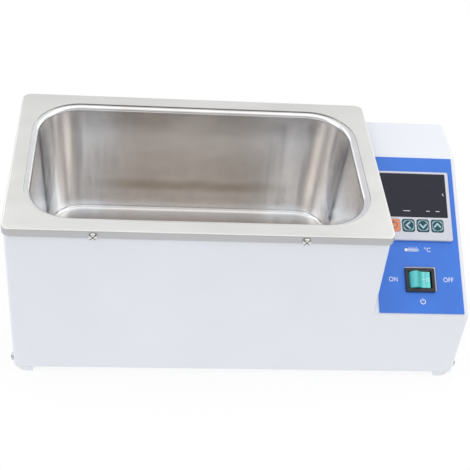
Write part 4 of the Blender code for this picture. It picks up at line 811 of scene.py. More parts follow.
def board_green(finishes, details):
    look = Finish("board_green", (0.02, 0.16, 0.07), 0.42)
    tracks = look.add("TexBrick", Vector=look.place, Scale=220.0, Mortar_Size=0.012).outputs["Fac"]
    look.paint(look.mix(tracks, (0.02, 0.15, 0.065), (0.05, 0.27, 0.12)))
    look.gloss(look.noise(0.002), 0.36, 0.5)
    return look.material


def fuse_glass(finishes, details):
    """Clear tube between two nickel caps, told apart along the fuse."""
    look = Finish("fuse_glass", (0.8, 0.85, 0.85), 0.06)
    along = look.math("ABSOLUTE", look.math("SUBTRACT", look.axis("X"), BOX_MIDDLE))
    cap = look.math("GREATER_THAN", along, FUSE_LENGTH / 2 - FUSE_CAP)
    metal = look.mix(look.spread(look.noise(0.002), 0, 1), (0.66, 0.66, 0.64), (0.76, 0.76, 0.74))
    look.paint(look.mix(cap, (0.75, 0.82, 0.82), metal))
    look.links.new(cap, look.shader.inputs["Metallic"])
    look.gloss(cap, 0.05, 0.24, 0, 1)
    return look.material


def sleeve(name, tone):
    """A maker for a wire's coloured sleeve."""

    def maker(finishes, details):
        look = Finish(name, tone, 0.42)
        rub = look.noise(0.004, detail=3)
        look.cloud(rub, shade(tone, 0.85), shade(tone, 1.1))
        look.gloss(rub, 0.36, 0.52)
        return look.material

    maker.__name__ = name
    return maker


def floor_paper(name, tone, glow):
    """White paper that glows in a wide painted pool of light about the bath, and duller outside it."""
    look = Finish(name, tone, 0.9, Specular_IOR_Level=0.0)
    look.shader.inputs["Emission Color"].default_value = (1, 1, 1, 1)
    share = (1 / POOL_HALF_WIDTH, 1 / POOL_HALF_DEPTH, 1)
    middle = (0, -POOL_SHIFT * share[1], 0)
    away = look.add("Mapping", Vector=look.place, Location=middle, Scale=share).outputs[0]
    reach = look.add("VectorMath", operation="LENGTH", Vector=away)
    fade = look.add("MapRange", interpolation_type="SMOOTHSTEP", Value=reach.outputs["Value"],
                    From_Min=POOL_FADE[0], From_Max=POOL_FADE[1], To_Min=glow, To_Max=glow * POOL_DULL)
    look.links.new(fade.outputs["Result"], look.shader.inputs["Emission Strength"])
    look.cloud(look.noise(0.2), shade(tone, 0.98), tone)
    return look.material


# Shapes


def ring(length, width, corner, height, steps, middle=(0, 0)):
    """Points of a rounded rectangle at one height, counter-clockwise from above."""
    points = []
    for quarter, (right, back) in enumerate(((1, 1), (-1, 1), (-1, -1), (1, -1))):
        x = middle[0] + right * (length / 2 - corner)
        y = middle[1] + back * (width / 2 - corner)
        for step in range(steps + 1):
            turn = math.pi / 2 * (quarter + step / steps)
            points.append(Vector((x + corner * math.cos(turn), y + corner * math.sin(turn), height)))
    return points


def contour(length, width, corner, profile, steps=6, middle=(0, 0)):
    """Rings for a run of (inset, height) pairs, all about the same corner centres."""
    return [
        ring(length - inset * 2, width - inset * 2, max(corner - inset, WELD), height, steps, middle)
        for inset, height in profile
    ]


def bow(inset, height, radius, start, stop, steps=5):
    """(inset, height) pairs along an arc, for contour: 0 degrees points inwards, 90 up."""
    turns = [math.radians(start + (stop - start) * i / steps) for i in range(steps + 1)]
    return [(inset + radius * math.cos(turn), height + radius * math.sin(turn)) for turn in turns]


def skin(rings, closed=False, lid=True):
    """Quads between rings; the ends are capped unless the run is closed, the last one only with a lid."""
    bm = bmesh.new()
    rows = [[bm.verts.new(point) for point in points] for points in rings]
    for low, high in list(zip(rows, rows[1:])) + ([(rows[-1], rows[0])] if closed else []):
        for i in range(len(low)):
            j = (i + 1) % len(low)
            bm.faces.new((low[i], low[j], high[j], high[i]))
    if not closed:
        bm.faces.new(rows[0][::-1])
        if lid:
            bm.faces.new(rows[-1])
    bmesh.ops.recalc_face_normals(bm, faces=bm.faces)
    return bm


def to_mesh(bm, name, angle=35):
    mesh = bpy.data.meshes.new(name)
    bm.to_mesh(mesh)
    bm.free()
    mesh.shade_smooth()
    mesh.set_sharp_from_angle(angle=math.radians(angle))
    return mesh


def slab(name, length, width, corner, low, high, edge=0.0, steps=6, middle=(0, 0)):
    """A rounded plate from low to high, with a rounded upper edge."""
    profile = [(0, low), (0, high)]
    if edge:
        profile = [(0, low)] + bow(edge, high - edge, edge, 180, 90)
    return to_mesh(skin(contour(length, width, corner, profile, steps, middle)), name)


def prism(name, outline, low, high):
    """A flat outline given thickness along +Z."""
    bm = bmesh.new()
    face = bm.faces.new([bm.verts.new((x, y, low)) for x, y in outline])
    top = bmesh.ops.extrude_face_region(bm, geom=[face])["geom"]
    raised = [item for item in top if isinstance(item, bmesh.types.BMVert)]
    bmesh.ops.translate(bm, verts=raised, vec=(0, 0, high - low))
    bmesh.ops.recalc_face_normals(bm, faces=bm.faces)
    return to_mesh(bm, name)


def arc(radius, turns):
    return [(radius * math.cos(turn), radius * math.sin(turn)) for turn in turns]


def hoop(name, outer, inner, low, high, steps=40, start=0.0, stop=360.0):
    """A flat ring, or part of one between two angles."""
    turns = [math.radians(start + (stop - start) * i / steps) for i in range(steps + 1)]
    whole = abs(stop - start) >= 360
    if whole:
        turns.pop()
        corners = ((inner, low), (outer, low), (outer, high), (inner, high))
        rings = [[Vector((*point, height)) for point in arc(radius, turns)] for radius, height in corners]
        return to_mesh(skin(rings, closed=True), name)
    outline = arc(outer, turns) + arc(inner, reversed(turns))
    return prism(name, outline, low, high)


def stroke(name, points, width, low, high):
    """A line of even width along points, with mitred turns."""
    line = [Vector(p) for p in points]
    left, right = [], []
    for i, here in enumerate(line):
        before = (here - line[i - 1]).normalized() if i else None
        after = (line[i + 1] - here).normalized() if i + 1 < len(line) else None
        way = ((before or after) + (after or before)).normalized()
        side = Vector((-way.y, way.x))
        near = before or after
        reach = width / 2 / max(MITRE_LIMIT, side.dot(Vector((-near.y, near.x))))
        left.append(here + side * reach)
        right.append(here - side * reach)
    return prism(name, [p.to_tuple() for p in right + left[::-1]], low, high)


def cylinder(name, radius, low, high, steps=24):
    return prism(name, arc(radius, [2 * math.pi * i / steps for i in range(steps)]), low, high)


def moved(mesh, place=(0, 0, 0), inside=Matrix.Identity(4), turn=Matrix.Identity(4)):
    """The mesh turned, moved and then set inside a frame."""
    mesh.transform(inside @ Matrix.Translation(place) @ turn)
    return mesh


def joined(name, meshes, angle=35):
    """One mesh from several (mesh, material number) pairs."""
    bm = bmesh.new()
    for mesh, number in meshes:
        start = len(bm.faces)
        bm.from_mesh(mesh)
        bm.faces.ensure_lookup_table()
        for face in bm.faces[start:]:
            face.material_index = number
        bpy.data.meshes.remove(mesh)
    return to_mesh(bm, name, angle)


def placed(name, data):
    """An object for a mesh, curve, light or camera, in the scene."""
    obj = bpy.data.objects.new(name, data)
    bpy.context.scene.collection.objects.link(obj)
    return obj


def settled(obj, name, angle=35):
    """The mesh that an object comes to with its modifiers; the object is removed."""
    bpy.context.view_layer.update()
    graph = bpy.context.evaluated_depsgraph_get()
    mesh = bpy.data.meshes.new_from_object(obj.evaluated_get(graph), depsgraph=graph)
    old = obj.data
    bpy.data.objects.remove(obj, do_unlink=True)
    if isinstance(old, bpy.types.Mesh):
        bpy.data.meshes.remove(old)
    bm = bmesh.new()
    bm.from_mesh(mesh)
    bpy.data.meshes.remove(mesh)
    bmesh.ops.remove_doubles(bm, verts=bm.verts, dist=WELD)
    return to_mesh(bm, name, angle)


def carved(mesh, tools, operation="DIFFERENCE", angle=35):
    """A mesh with the tools cut out of it, or added to it."""
    obj = placed(mesh.name, mesh)
    helpers = [placed(tool.name, tool) for tool in tools]
    for helper in helpers:
        cut = obj.modifiers.new(helper.name, "BOOLEAN")
        cut.operation = operation
        cut.solver = "EXACT"
        cut.object = helper
    result = settled(obj, mesh.name, angle)
    for helper in helpers:
        tool = helper.data
        bpy.data.objects.remove(helper, do_unlink=True)
        bpy.data.meshes.remove(tool)
    return result


def softened(mesh, radius, steps=3, angle=40):
    """A mesh with its sharp edges rounded."""
    obj = placed(mesh.name, mesh)
    bevel = obj.modifiers.new("edge", "BEVEL")
    bevel.width = radius
    bevel.segments = steps
    bevel.limit_method = "ANGLE"
    bevel.angle_limit = math.radians(angle)
    bevel.use_clamp_overlap = True
    return settled(obj, mesh.name, 60)


def show(name, mesh, finishes, body, nodes=(), slot=None):
    """One piece of the bath: its mesh, its finishes, the body it rides on and the solids it stands for."""
    mesh.name = name
    obj = placed(name, mesh)
    for maker in finishes:
        mesh.materials.append(finish(maker))
    flat = obj.modifiers.new("even_shading", "WEIGHTED_NORMAL")
    flat.keep_sharp = True
    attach(obj, body)
    if nodes:
        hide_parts(*nodes)
    return obj


def dress(node, maker):
    """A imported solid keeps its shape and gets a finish."""
    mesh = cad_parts[node].data
    mesh.materials.clear()
    mesh.materials.append(finish(maker))


# Pieces


def casing_mesh(details):
    """The painted shell: a tall tank part, a low box with a sloped panel, open below."""
    low, top = CASING_FOOT, CASING_TOP
    slope_end = FRONT + SLOPE_RUN
    corners = {
        "a": (LEFT, FRONT, low), "b": (RIGHT, FRONT, low), "c": (RIGHT, FRONT, FOLD),
        "d": (TANK_RIGHT, FRONT, FOLD), "e": (TANK_RIGHT, FRONT, top), "f": (LEFT, FRONT, top),
        "g": (TANK_RIGHT, slope_end, BOX_TOP), "h": (RIGHT, slope_end, BOX_TOP),
        "i": (LEFT, BACK, low), "j": (RIGHT, BACK, low), "k": (RIGHT, BACK, BOX_TOP),
        "l": (TANK_RIGHT, BACK, BOX_TOP), "m": (TANK_RIGHT, BACK, top), "n": (LEFT, BACK, top),
    }
    bm = bmesh.new()
    at = {key: bm.verts.new(place) for key, place in corners.items()}
    for face in ("abcdef", "iafn", "femn", "dglme", "dchg", "ghkl", "bjkhc", "jinmlk"):
        bm.faces.new([at[key] for key in face])
    bmesh.ops.recalc_face_normals(bm, faces=bm.faces)
    largest = max(bm.faces, key=lambda face: face.calc_area())
    outward = Vector((0, -1, 0)) if largest.calc_center_median().y < 0 else Vector((0, 1, 0))
    if largest.normal.dot(outward) < 0:
        bmesh.ops.reverse_faces(bm, faces=bm.faces)
    edges = [edge for edge in bm.edges if len(edge.link_faces) == 2 and edge.is_convex]
    bmesh.ops.bevel(bm, geom=edges, offset=CASING_BEND, segments=details.bend_steps, profile=0.5,
                    affect="EDGES", clamp_overlap=False)
    obj = placed("casing_shell", to_mesh(bm, "casing_shell"))
    wall = obj.modifiers.new("sheet", "SOLIDIFY")
    wall.thickness = CASING_SHEET
    wall.offset = -1
    wall.use_even_offset = True
    wall.use_quality_normals = True
    mesh = settled(obj, "casing_shell")
    return carved(mesh, casing_windows(details))


def casing_windows(details):
    """What is cut out of the casing: windows for the pan, controller, switch and inlet, and screw bores."""
    margin = (PAN_LIP + PAN_SHEET + GAP) * 2
    pan = slab("pan_window", PAN_LENGTH + margin, PAN_WIDTH + margin, PAN_CORNER + margin / 2,
               CASING_TOP - OVERRUN, CASING_TOP + OVERRUN,
               steps=details.corner_steps, middle=(TANK_MIDDLE, 0))
    side = CASE_SIDE + GAP * 2
    case = slab("case_window", side, side, CASE_CORNER + GAP, -OVERRUN, OVERRUN)
    switch = slab("switch_window", SWITCH_BODY_LENGTH + GAP * 2, SWITCH_BODY_WIDTH + GAP * 2, GAP,
                  -OVERRUN, OVERRUN)
    inlet = slab("inlet_window", INLET_BODY[0] + GAP * 2, INLET_BODY[1] + GAP * 2, INLET_BODY_CORNER + GAP,
                 -OVERRUN, OVERRUN)
    tools = [pan, moved(case, (0, CONTROLLER_PLACE, 0), PANEL), moved(switch, (0, SWITCH_PLACE, 0), PANEL),
             moved(inlet, inside=INLET)]
    for name, place, turn, sizes in screw_places():
        if name.startswith(("rim", "side")):
            bore = cylinder(name + "_bore", sizes[2] + SCREW_PLAY, -OVERRUN * 2, OVERRUN)
            tools.append(moved(bore, place, turn=turn))
    return tools


def rim_mesh(details):
    """The brushed plate with a folded skirt and one large rounded opening."""
    steps = details.corner_steps
    low = RIM_LOW.z
    margin = (PAN_LIP + PAN_CLEARANCE) * 2
    opening = (PAN_LENGTH + margin + RIM_SPARE, PAN_WIDTH + margin, PAN_CORNER + margin / 2)
    edge = RIM_SHEET / 5
    outside = [(0, low + edge), *bow(RIM_BEND, RIM_TOP - RIM_BEND, RIM_BEND, 180, 90, 6)]
    inside = [*bow(RIM_BEND, RIM_TOP - RIM_BEND, RIM_BEND - RIM_SHEET, 90, 180, 4), (RIM_SHEET, low + edge),
              (RIM_SHEET - edge, low), (edge, low)]
    hole = [(-edge, RIM_TOP), (-edge / 3, RIM_TOP - edge / 3), (0, RIM_TOP - edge), (0, RIM_TOP - RIM_SHEET)]
    middle = (TANK_MIDDLE + RIM_SPARE / 2, 0)
    rings = contour(RIM_LENGTH + RIM_SPARE, RIM_WIDTH, RIM_CORNER, outside, steps, middle)
    rings += contour(*opening, hole, steps, middle)
    rings += contour(RIM_LENGTH + RIM_SPARE, RIM_WIDTH, RIM_CORNER, inside, steps, middle)
    return to_mesh(skin(rings, closed=True), "rim_plate_brushed")


def pan_mesh(details):
    """The drawn pan: flange, rolled lip, drafted wall, wide floor bend, flat floor and two studs."""
    flange_top = RIM_TOP - RIM_SHEET - GAP
    slope = math.tan(PAN_DRAFT)
    draft = math.degrees(PAN_DRAFT)
    lip_middle = flange_top - PAN_LIP
    wall_start = -PAN_LIP + PAN_LIP * math.cos(PAN_DRAFT)
    bend_rise = PAN_FLOOR + PAN_FLOOR_BEND
    wall_end = (lip_middle - bend_rise) * slope
    bend_inset = wall_end + PAN_FLOOR_BEND / math.cos(PAN_DRAFT)
    inner = [(-PAN_LIP - PAN_SHEET - PAN_FLANGE, flange_top)]
    inner += bow(-PAN_LIP, lip_middle, PAN_LIP, 90, draft, 8)
    heights = [lip_middle - drop for drop in PAN_WALL_RINGS] + [bend_rise + PAN_LOW_RING]
    inner += [(wall_start + (lip_middle - height) * slope, height) for height in heights]
    inner += bow(bend_inset, bend_rise, PAN_FLOOR_BEND, 180 + draft, 270, 16)
    outer = []
    for (inset, height), (later, lower) in zip(inner, inner[1:] + [inner[-1]]):
        run, drop = later - inset, height - lower
        length = math.hypot(run, drop)
        if length < WELD:
            outer.append((inset, height - PAN_SHEET))
            continue
        outer.append((inset - PAN_SHEET * drop / length, height - PAN_SHEET * run / length))
    steps = details.corner_steps
    middle = (TANK_MIDDLE, 0)
    body = skin(contour(PAN_LENGTH, PAN_WIDTH, PAN_CORNER, outer[::-1] + inner, steps, middle))
    studs = []
    for side in (-1, 1):
        stud = cylinder(f"stud_{side}", STUD_RADIUS, STUD_FOOT, PAN_FLOOR - PAN_SHEET / 2, 20)
        studs.append((moved(stud, (TANK_MIDDLE + side * stud_spacing() / 2, 0, 0)), 0))
    return joined("drawn_pan", [(to_mesh(body, "pan_body"), 0), *studs])


def stud_spacing():
    low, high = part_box("heater_nut_left"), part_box("heater_nut_right")
    return (high[0].x + high[1].x) / 2 - (low[0].x + low[1].x) / 2


def screw_mesh(name, head_radius, head_height, shank_radius, shank_length):
    """A pan-head screw with a tapered cross recess; its head stands on z = 0."""
    crown, brim = head_radius * CROWN_SHARE, head_height * BRIM_SHARE
    profile = [(0, head_height)] + [(crown * out, head_height * up) for out, up in CROWN_HEIGHTS]
    for step in range(1, HEAD_STEPS):
        turn = QUARTER_TURN * step / HEAD_STEPS
        profile.append((crown + (head_radius - crown) * math.sin(turn),
                        brim + (head_height - brim) * math.cos(turn)))
    profile += [(head_radius, brim), (head_radius, HEAD_EDGE), (head_radius - HEAD_EDGE, 0),
                (shank_radius, 0), (shank_radius, shank_radius - shank_length),
                (shank_radius * SHANK_TIP_SHARE, -shank_length), (0, -shank_length)]
    bm = bmesh.new()
    points = [bm.verts.new((radius, 0, height)) for radius, height in profile]
    line = [bm.edges.new(pair) for pair in zip(points, points[1:])]
    bmesh.ops.spin(bm, geom=line + points, cent=(0, 0, 0), axis=(0, 0, 1), angle=math.tau, steps=32,
                   use_merge=True)
    bmesh.ops.remove_doubles(bm, verts=bm.verts, dist=WELD)
    bmesh.ops.recalc_face_normals(bm, faces=bm.faces)
    reach, width, depth = crown * SLOT_REACH, head_radius * SLOT_WIDTH, head_height * SLOT_DEPTH
    foot, over = head_height - depth, head_height + OVERRUN / 4
    slots = []
    for turn in SLOT_TURNS:
        rings = [ring(reach * share * 2, width * share, WELD, height, 1)
                 for share, height in ((SLOT_TAPER, foot), (1, over))]
        slot = to_mesh(skin(rings), f"{name}_slot_{turn}")
        slots.append(moved(slot, turn=Matrix.Rotation(math.radians(turn), 4, "Z")))
    mesh = carved(to_mesh(bm, name), slots)
    # Painted shade: the faces in the recess take the second, near-black material
    along_slot = Matrix.Rotation(math.radians(SLOT_TURNS[0]), 3, "Z")
    for face in mesh.polygons:
        x, y, height = along_slot @ face.center
        near = min(abs(x), abs(y)) < width * RECESS_MARGIN and max(abs(x), abs(y)) < reach * RECESS_MARGIN
        deep = head_height - depth * RECESS_MARGIN < height < head_height * RECESS_TOP
        face.material_index = int(near and deep)
    return mesh


def screw_place(name, sizes, axis, seat, turn):
    """A screw's name, the foot of its head on a seat square to the axis, its turn and its fitted sizes."""
    low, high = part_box(name)
    foot = (low + high) / 2
    foot[axis] = seat
    top = high if (turn @ Vector((0, 0, 1)))[axis] > 0 else low
    return name, foot, turn, (sizes[0], abs(top[axis] - seat), *sizes[2:])


def screw_places():
    """Every screw, as screw_place gives it."""
    towards = {
        "front": FORWARDS, "rear": BACKWARDS, "down": Matrix.Rotation(math.pi, 4, "X"),
        "left": Matrix.Rotation(-QUARTER_TURN, 4, "Y"), "right": Matrix.Rotation(QUARTER_TURN, 4, "Y"),
    }
    skirts = {"front": RIM_LOW.y - GAP, "rear": RIM_HIGH.y + GAP}
    ends = {"left": LEFT - GAP, "right": RIGHT + GAP}
    places = []
    for side in ("left", "right"):
        for depth in ("front", "rear"):
            corner = f"screw_{depth}_{side}"
            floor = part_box("foot_" + corner)[0].z + FOOT_SCREW[1]
            places += [screw_place("rim_" + corner, RIM_SCREW, 1, skirts[depth], towards[depth]),
                       screw_place("side_" + corner, SIDE_SCREW, 0, ends[side], towards[side]),
                       screw_place("foot_" + corner, FOOT_SCREW, 2, floor, towards["down"])]
    for side in ("left", "right"):
        name = f"inlet_screw_{side}"
        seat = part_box(name)[1].y - INLET_SCREW[1]
        places.append(screw_place(name, INLET_SCREW, 1, seat, towards["rear"]))
    return places


def foot_mesh(name, details):
    """A corner pad: the outer corner is widely rounded, and a screw sits in a well below."""
    low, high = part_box(name)
    side = high.x - low.x
    x_sign, y_sign = (1 if middle > 0 else -1 for middle in (low.x, low.y))
    outer_x, outer_y = (high.x if x_sign > 0 else low.x), (high.y if y_sign > 0 else low.y)

    def inwards(across, along):
        return outer_x - x_sign * across, outer_y - y_sign * along

    turns = [QUARTER_TURN * step / FOOT_STEPS for step in range(FOOT_STEPS + 1)]
    outline = [inwards(FOOT_CORNER - x, FOOT_CORNER - y) for x, y in arc(FOOT_CORNER, turns)]
    outline += [inwards(side, 0), inwards(side, side), inwards(0, side)]
    screw_low, screw_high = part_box(name.replace("foot_", "foot_screw_"))
    middle = (screw_low + screw_high) / 2
    middle.z = 0
    seat = screw_low.z + FOOT_SCREW[1]
    well = moved(cylinder(name + "_well", FOOT_SCREW[0] + GAP, -OVERRUN, seat + GAP, 32), middle)
    bore = moved(cylinder(name + "_bore", FOOT_SCREW[2] + SCREW_PLAY, 0, high.z + OVERRUN), middle)
    return softened(carved(prism(name, outline, low.z, high.z), [well, bore]), details.edge * 3)


def film_mesh():
    """The blue film: its window for the switch is cut a little wide towards the top and the right."""
    low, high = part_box("panel_overlay")
    length = high.x - low.x
    foot, head = FILM_FOOT, SLOPE_LENGTH - FILM_HEAD
    film = slab("panel_film", length, head - foot, FILM_CORNER, GAP, GAP + FILM_THICKNESS,
                middle=(0, (head + foot) / 2))
    side = CASE_SIDE + GAP * 2
    right = SWITCH_LENGTH / 2 + SWITCH_WINDOW_SPARE
    left = SWITCH_BODY_LENGTH / 2 + GAP
    top = SWITCH_PLACE + SWITCH_WIDTH / 2 + SWITCH_WINDOW_SPARE
    bottom = SWITCH_PLACE - SWITCH_BODY_WIDTH / 2 - GAP
    tools = [slab("case_cut", side, side, CASE_CORNER, -OVERRUN, OVERRUN, middle=(0, CONTROLLER_PLACE)),
             slab("switch_cut", right + left, top - bottom, FILM_CORNER, -OVERRUN, OVERRUN,
                  middle=((right - left) / 2, (top + bottom) / 2))]
    return moved(carved(film, tools), inside=PANEL)


def bezel_mesh(details):
    """The controller's pale front, cut for the window and the keys."""
    bezel = slab("controller_bezel", CONTROLLER_SIDE, CONTROLLER_SIDE, BEZEL_CORNER, BEZEL_BASE, BEZEL_TOP,
                 edge=BEZEL_EDGE, middle=(0, CONTROLLER_PLACE))
    low, high = BEZEL_BASE - OVERRUN, BEZEL_TOP + OVERRUN
    tools = [slab("window_cut", WINDOW_LENGTH + GAP * 2, WINDOW_HEIGHT + GAP * 2, WINDOW_CORNER + GAP,
                  low, high, middle=(0, WINDOW_PLACE))]
    for index, name in enumerate(KEY_NAMES):
        tools.append(slab(name + "_cut", KEY_WIDTH + GAP * 2, KEY_HEIGHT + GAP * 2, KEY_CORNER + GAP,
                          low, high, middle=(key_x(index), KEY_PLACE)))
    return moved(softened(carved(bezel, tools), details.edge * 0.6, 2, 50), inside=CONTROLLER_FACE)


def key_x(index):
    return (index - (len(KEY_NAMES) - 1) / 2) * KEY_PITCH


def key_mesh(index, details):
    """A key cap with its collar, and its print standing slightly proud."""
    top = BEZEL_TOP + KEY_PROUD
    collar_top = BEZEL_BASE - GAP
    profile = [(-KEY_COLLAR, collar_top - KEY_COLLAR), (-KEY_COLLAR, collar_top), (0, collar_top),
               *bow(KEY_EDGE, top - KEY_EDGE, KEY_EDGE, 180, 90)]
    cap = to_mesh(skin(contour(KEY_WIDTH, KEY_HEIGHT, KEY_CORNER, profile)), "cap")
    low, high = top - WELD, top + details.relief
    if index == 0:
        shapes = [hoop("turn", *TURN_RADII, low, high, 24, *TURN_SPAN), prism("point", TURN_POINT, low, high)]
    else:
        half, back, tip, width = CHEVRON
        arms = {
            1: ((back, half), (-tip, 0), (back, -half)),
            2: ((-half, back), (0, -tip), (half, back)),
            3: ((-half, -back), (0, tip), (half, -back)),
        }
        shapes = [hoop("circle", *RING_RADII, low, high, 48)]
        for turn in (45, 135, 225, 315):
            span = (turn - CORNER_SPAN, turn + CORNER_SPAN)
            shapes.append(hoop(f"corner_{turn}", *CORNER_RADII, low, high, 10, *span))
        shapes.append(stroke("chevron", arms[index], width, low, high))
    mesh = joined(KEY_NAMES[index], [(cap, 0)] + [(shape, 1) for shape in shapes])
    return moved(mesh, (key_x(index), KEY_PLACE, 0), CONTROLLER_FACE)


def window_mesh():
    top = BEZEL_TOP - WINDOW_RECESS
    window = slab("display_glass", WINDOW_LENGTH, WINDOW_HEIGHT, WINDOW_CORNER, top - WINDOW_THICKNESS, top,
                  edge=WINDOW_EDGE, middle=(0, WINDOW_PLACE))
    return moved(window, inside=CONTROLLER_FACE)


def display_marks_mesh():
    """The small bars that show in the dark window."""
    top = BEZEL_TOP - WINDOW_RECESS
    bars = []
    for number, (left, right, place, height) in enumerate(DISPLAY_BARS):
        middle = ((left + right) / 2, place)
        bar = slab(f"bar_{number}", right - left, height, height / 3, top, top + INK, middle=middle)
        bars.append((bar, 0))
    return moved(joined("display_marks", bars), inside=CONTROLLER_FACE)


def switch_frame_mesh():
    """The black frame round the rocker: a flange, a body through the panel and a deep pocket."""
    body = contour(SWITCH_BODY_LENGTH, SWITCH_BODY_WIDTH, SWITCH_BODY_CORNER,
                   [(0, -SWITCH_BODY_DEPTH), (0, BEZEL_BASE)], 5)
    edge = bow(SWITCH_EDGE, SWITCH_TOP - SWITCH_EDGE, SWITCH_EDGE, 180, 90, 4)
    flange = contour(SWITCH_LENGTH, SWITCH_WIDTH, SWITCH_CORNER, [(0, BEZEL_BASE), *edge], 5)
    pocket = contour(POCKET_LENGTH, POCKET_WIDTH, POCKET_CORNER,
                     [(-GAP, SWITCH_TOP), (0, SWITCH_TOP - GAP), (0, SWITCH_TOP - POCKET_DEPTH)], 5)
    mesh = to_mesh(skin(body + flange + pocket), "switch_frame")
    bore = cylinder("pivot_bore", TRUNNION_RADIUS + TRUNNION_PLAY, -SWITCH_WIDTH / 2, SWITCH_WIDTH / 2)
    carved_mesh = carved(mesh, [moved(bore, (0, 0, PIVOT_HEIGHT), turn=FORWARDS)])
    return moved(carved_mesh, (0, SWITCH_PLACE, 0), PANEL)


def rocker_mesh(details):
    """The rocker: two facets that meet in a valley between curved ends, on two trunnions."""
    width = POCKET_WIDTH - GAP * 2
    lean = math.tan(ROCKER_TILT)
    spread = 1 + lean * lean
    half = ROCKER_VALLEY * lean
    edge_x = (math.sqrt(half * half + spread * (ROCKER_RADIUS**2 - ROCKER_VALLEY**2)) - half) / spread
    edge_turn = math.acos(edge_x / ROCKER_RADIUS)
    foot_turn = -math.asin((ROCKER_THICKNESS - ROCKER_VALLEY) / ROCKER_RADIUS)
    turns = [foot_turn + (edge_turn - foot_turn) * i / ROCKER_STEPS for i in range(ROCKER_STEPS + 1)]
    right = arc(ROCKER_RADIUS, turns)
    outline = right + [(0, ROCKER_VALLEY)] + [(-x, z) for x, z in reversed(right)]
    body = softened(prism("rocker_body", outline, -width / 2, width / 2), details.edge * 1.6, 3, 25)
    pins = cylinder("trunnions", TRUNNION_RADIUS, -SWITCH_BODY_WIDTH / 2, SWITCH_BODY_WIDTH / 2)
    shapes = [(moved(body, turn=FORWARDS), 0), (moved(pins, turn=FORWARDS), 0)]
    edge_z = right[-1][1]
    fall = Matrix.Rotation(math.atan2(ROCKER_VALLEY - edge_z, edge_x), 4, "Y")
    facet = Matrix.Translation((0, 0, ROCKER_VALLEY)) @ fall
    ring_mark = hoop("ring_mark", *ROCKER_RING, -WELD, details.relief, 32)
    bar_mark = slab("bar_mark", *ROCKER_BAR, -WELD, details.relief)
    shapes.append((moved(ring_mark, (ROCKER_RING_PLACE, 0, 0), facet), 1))
    shapes.append((moved(bar_mark, (ROCKER_BAR_PLACE, 0, 0), facet), 1))
    mesh = joined("rocker_cap", shapes)
    return moved(mesh, (0, SWITCH_PLACE, PIVOT_HEIGHT), PANEL, Matrix.Rotation(ROCKER_TILT, 4, "Y"))


def word(name, text, height, width, place, low, high):
    """Plain letters set flat on the panel, fitted to a height and width."""
    curve = bpy.data.curves.new(name, "FONT")
    curve.body = text
    curve.extrude = 0.5
    curve.resolution_u = 6
    mesh = settled(placed(name, curve), name)
    points = [vertex.co for vertex in mesh.vertices]
    for axis, size in enumerate((width, height, high - low)):
        first, last = (pick(point[axis] for point in points) for pick in (min, max))
        for point in points:
            point[axis] = (point[axis] - first) * size / (last - first)
    return moved(mesh, (place[0] - width / 2, place[1] - height / 2, low), PANEL)


def sign(name, shapes, place):
    """Printed shapes joined and set on the panel."""
    return moved(joined(name, [(shape, 0) for shape in shapes]), (*place, 0), PANEL)


def thermometer_mesh(low, high):
    """A plain thermometer sign lying along the line: a bulb, a stem in a tube, and a scale beside it."""
    shapes = [moved(cylinder("bulb", BULB_RADIUS, low, high, 28), (BULB_PLACE, 0, 0)),
              slab("stem", *STEM, low, high, middle=(STEM_PLACE, 0))]
    for side in (1, -1):
        line = [(end * TUBE_LENGTH / 2, side * TUBE_RADIUS) for end in (-1, 1)]
        shapes.append(stroke(f"tube_{side}", line, TUBE_LINE, low, high))
    end = hoop("tube_end", TUBE_RADIUS + TUBE_LINE / 2, TUBE_RADIUS - TUBE_LINE / 2, low, high, 12, -90, 90)
    shapes.append(moved(end, (TUBE_LENGTH / 2, 0, 0)))
    for number in range(TICKS):
        x = TICK_START + number * TICK_PITCH
        shapes.append(stroke(f"tick_{number}", [(x, y) for y in TICK_SPAN], TICK_WIDTH, low, high))
    return sign("mark_thermometer", shapes, THERMOMETER_PLACE)


def power_sign_mesh(low, high):
    """The usual sign of a ring open at the top with an upright bar."""
    arch = hoop("ring", *POWER_RADII, low, high, 40, *POWER_SPAN)
    bar = moved(slab("bar", *POWER_BAR, low, high), (0, POWER_BAR_PLACE, 0))
    return sign("mark_power", [arch, bar], POWER_SIGN_PLACE)


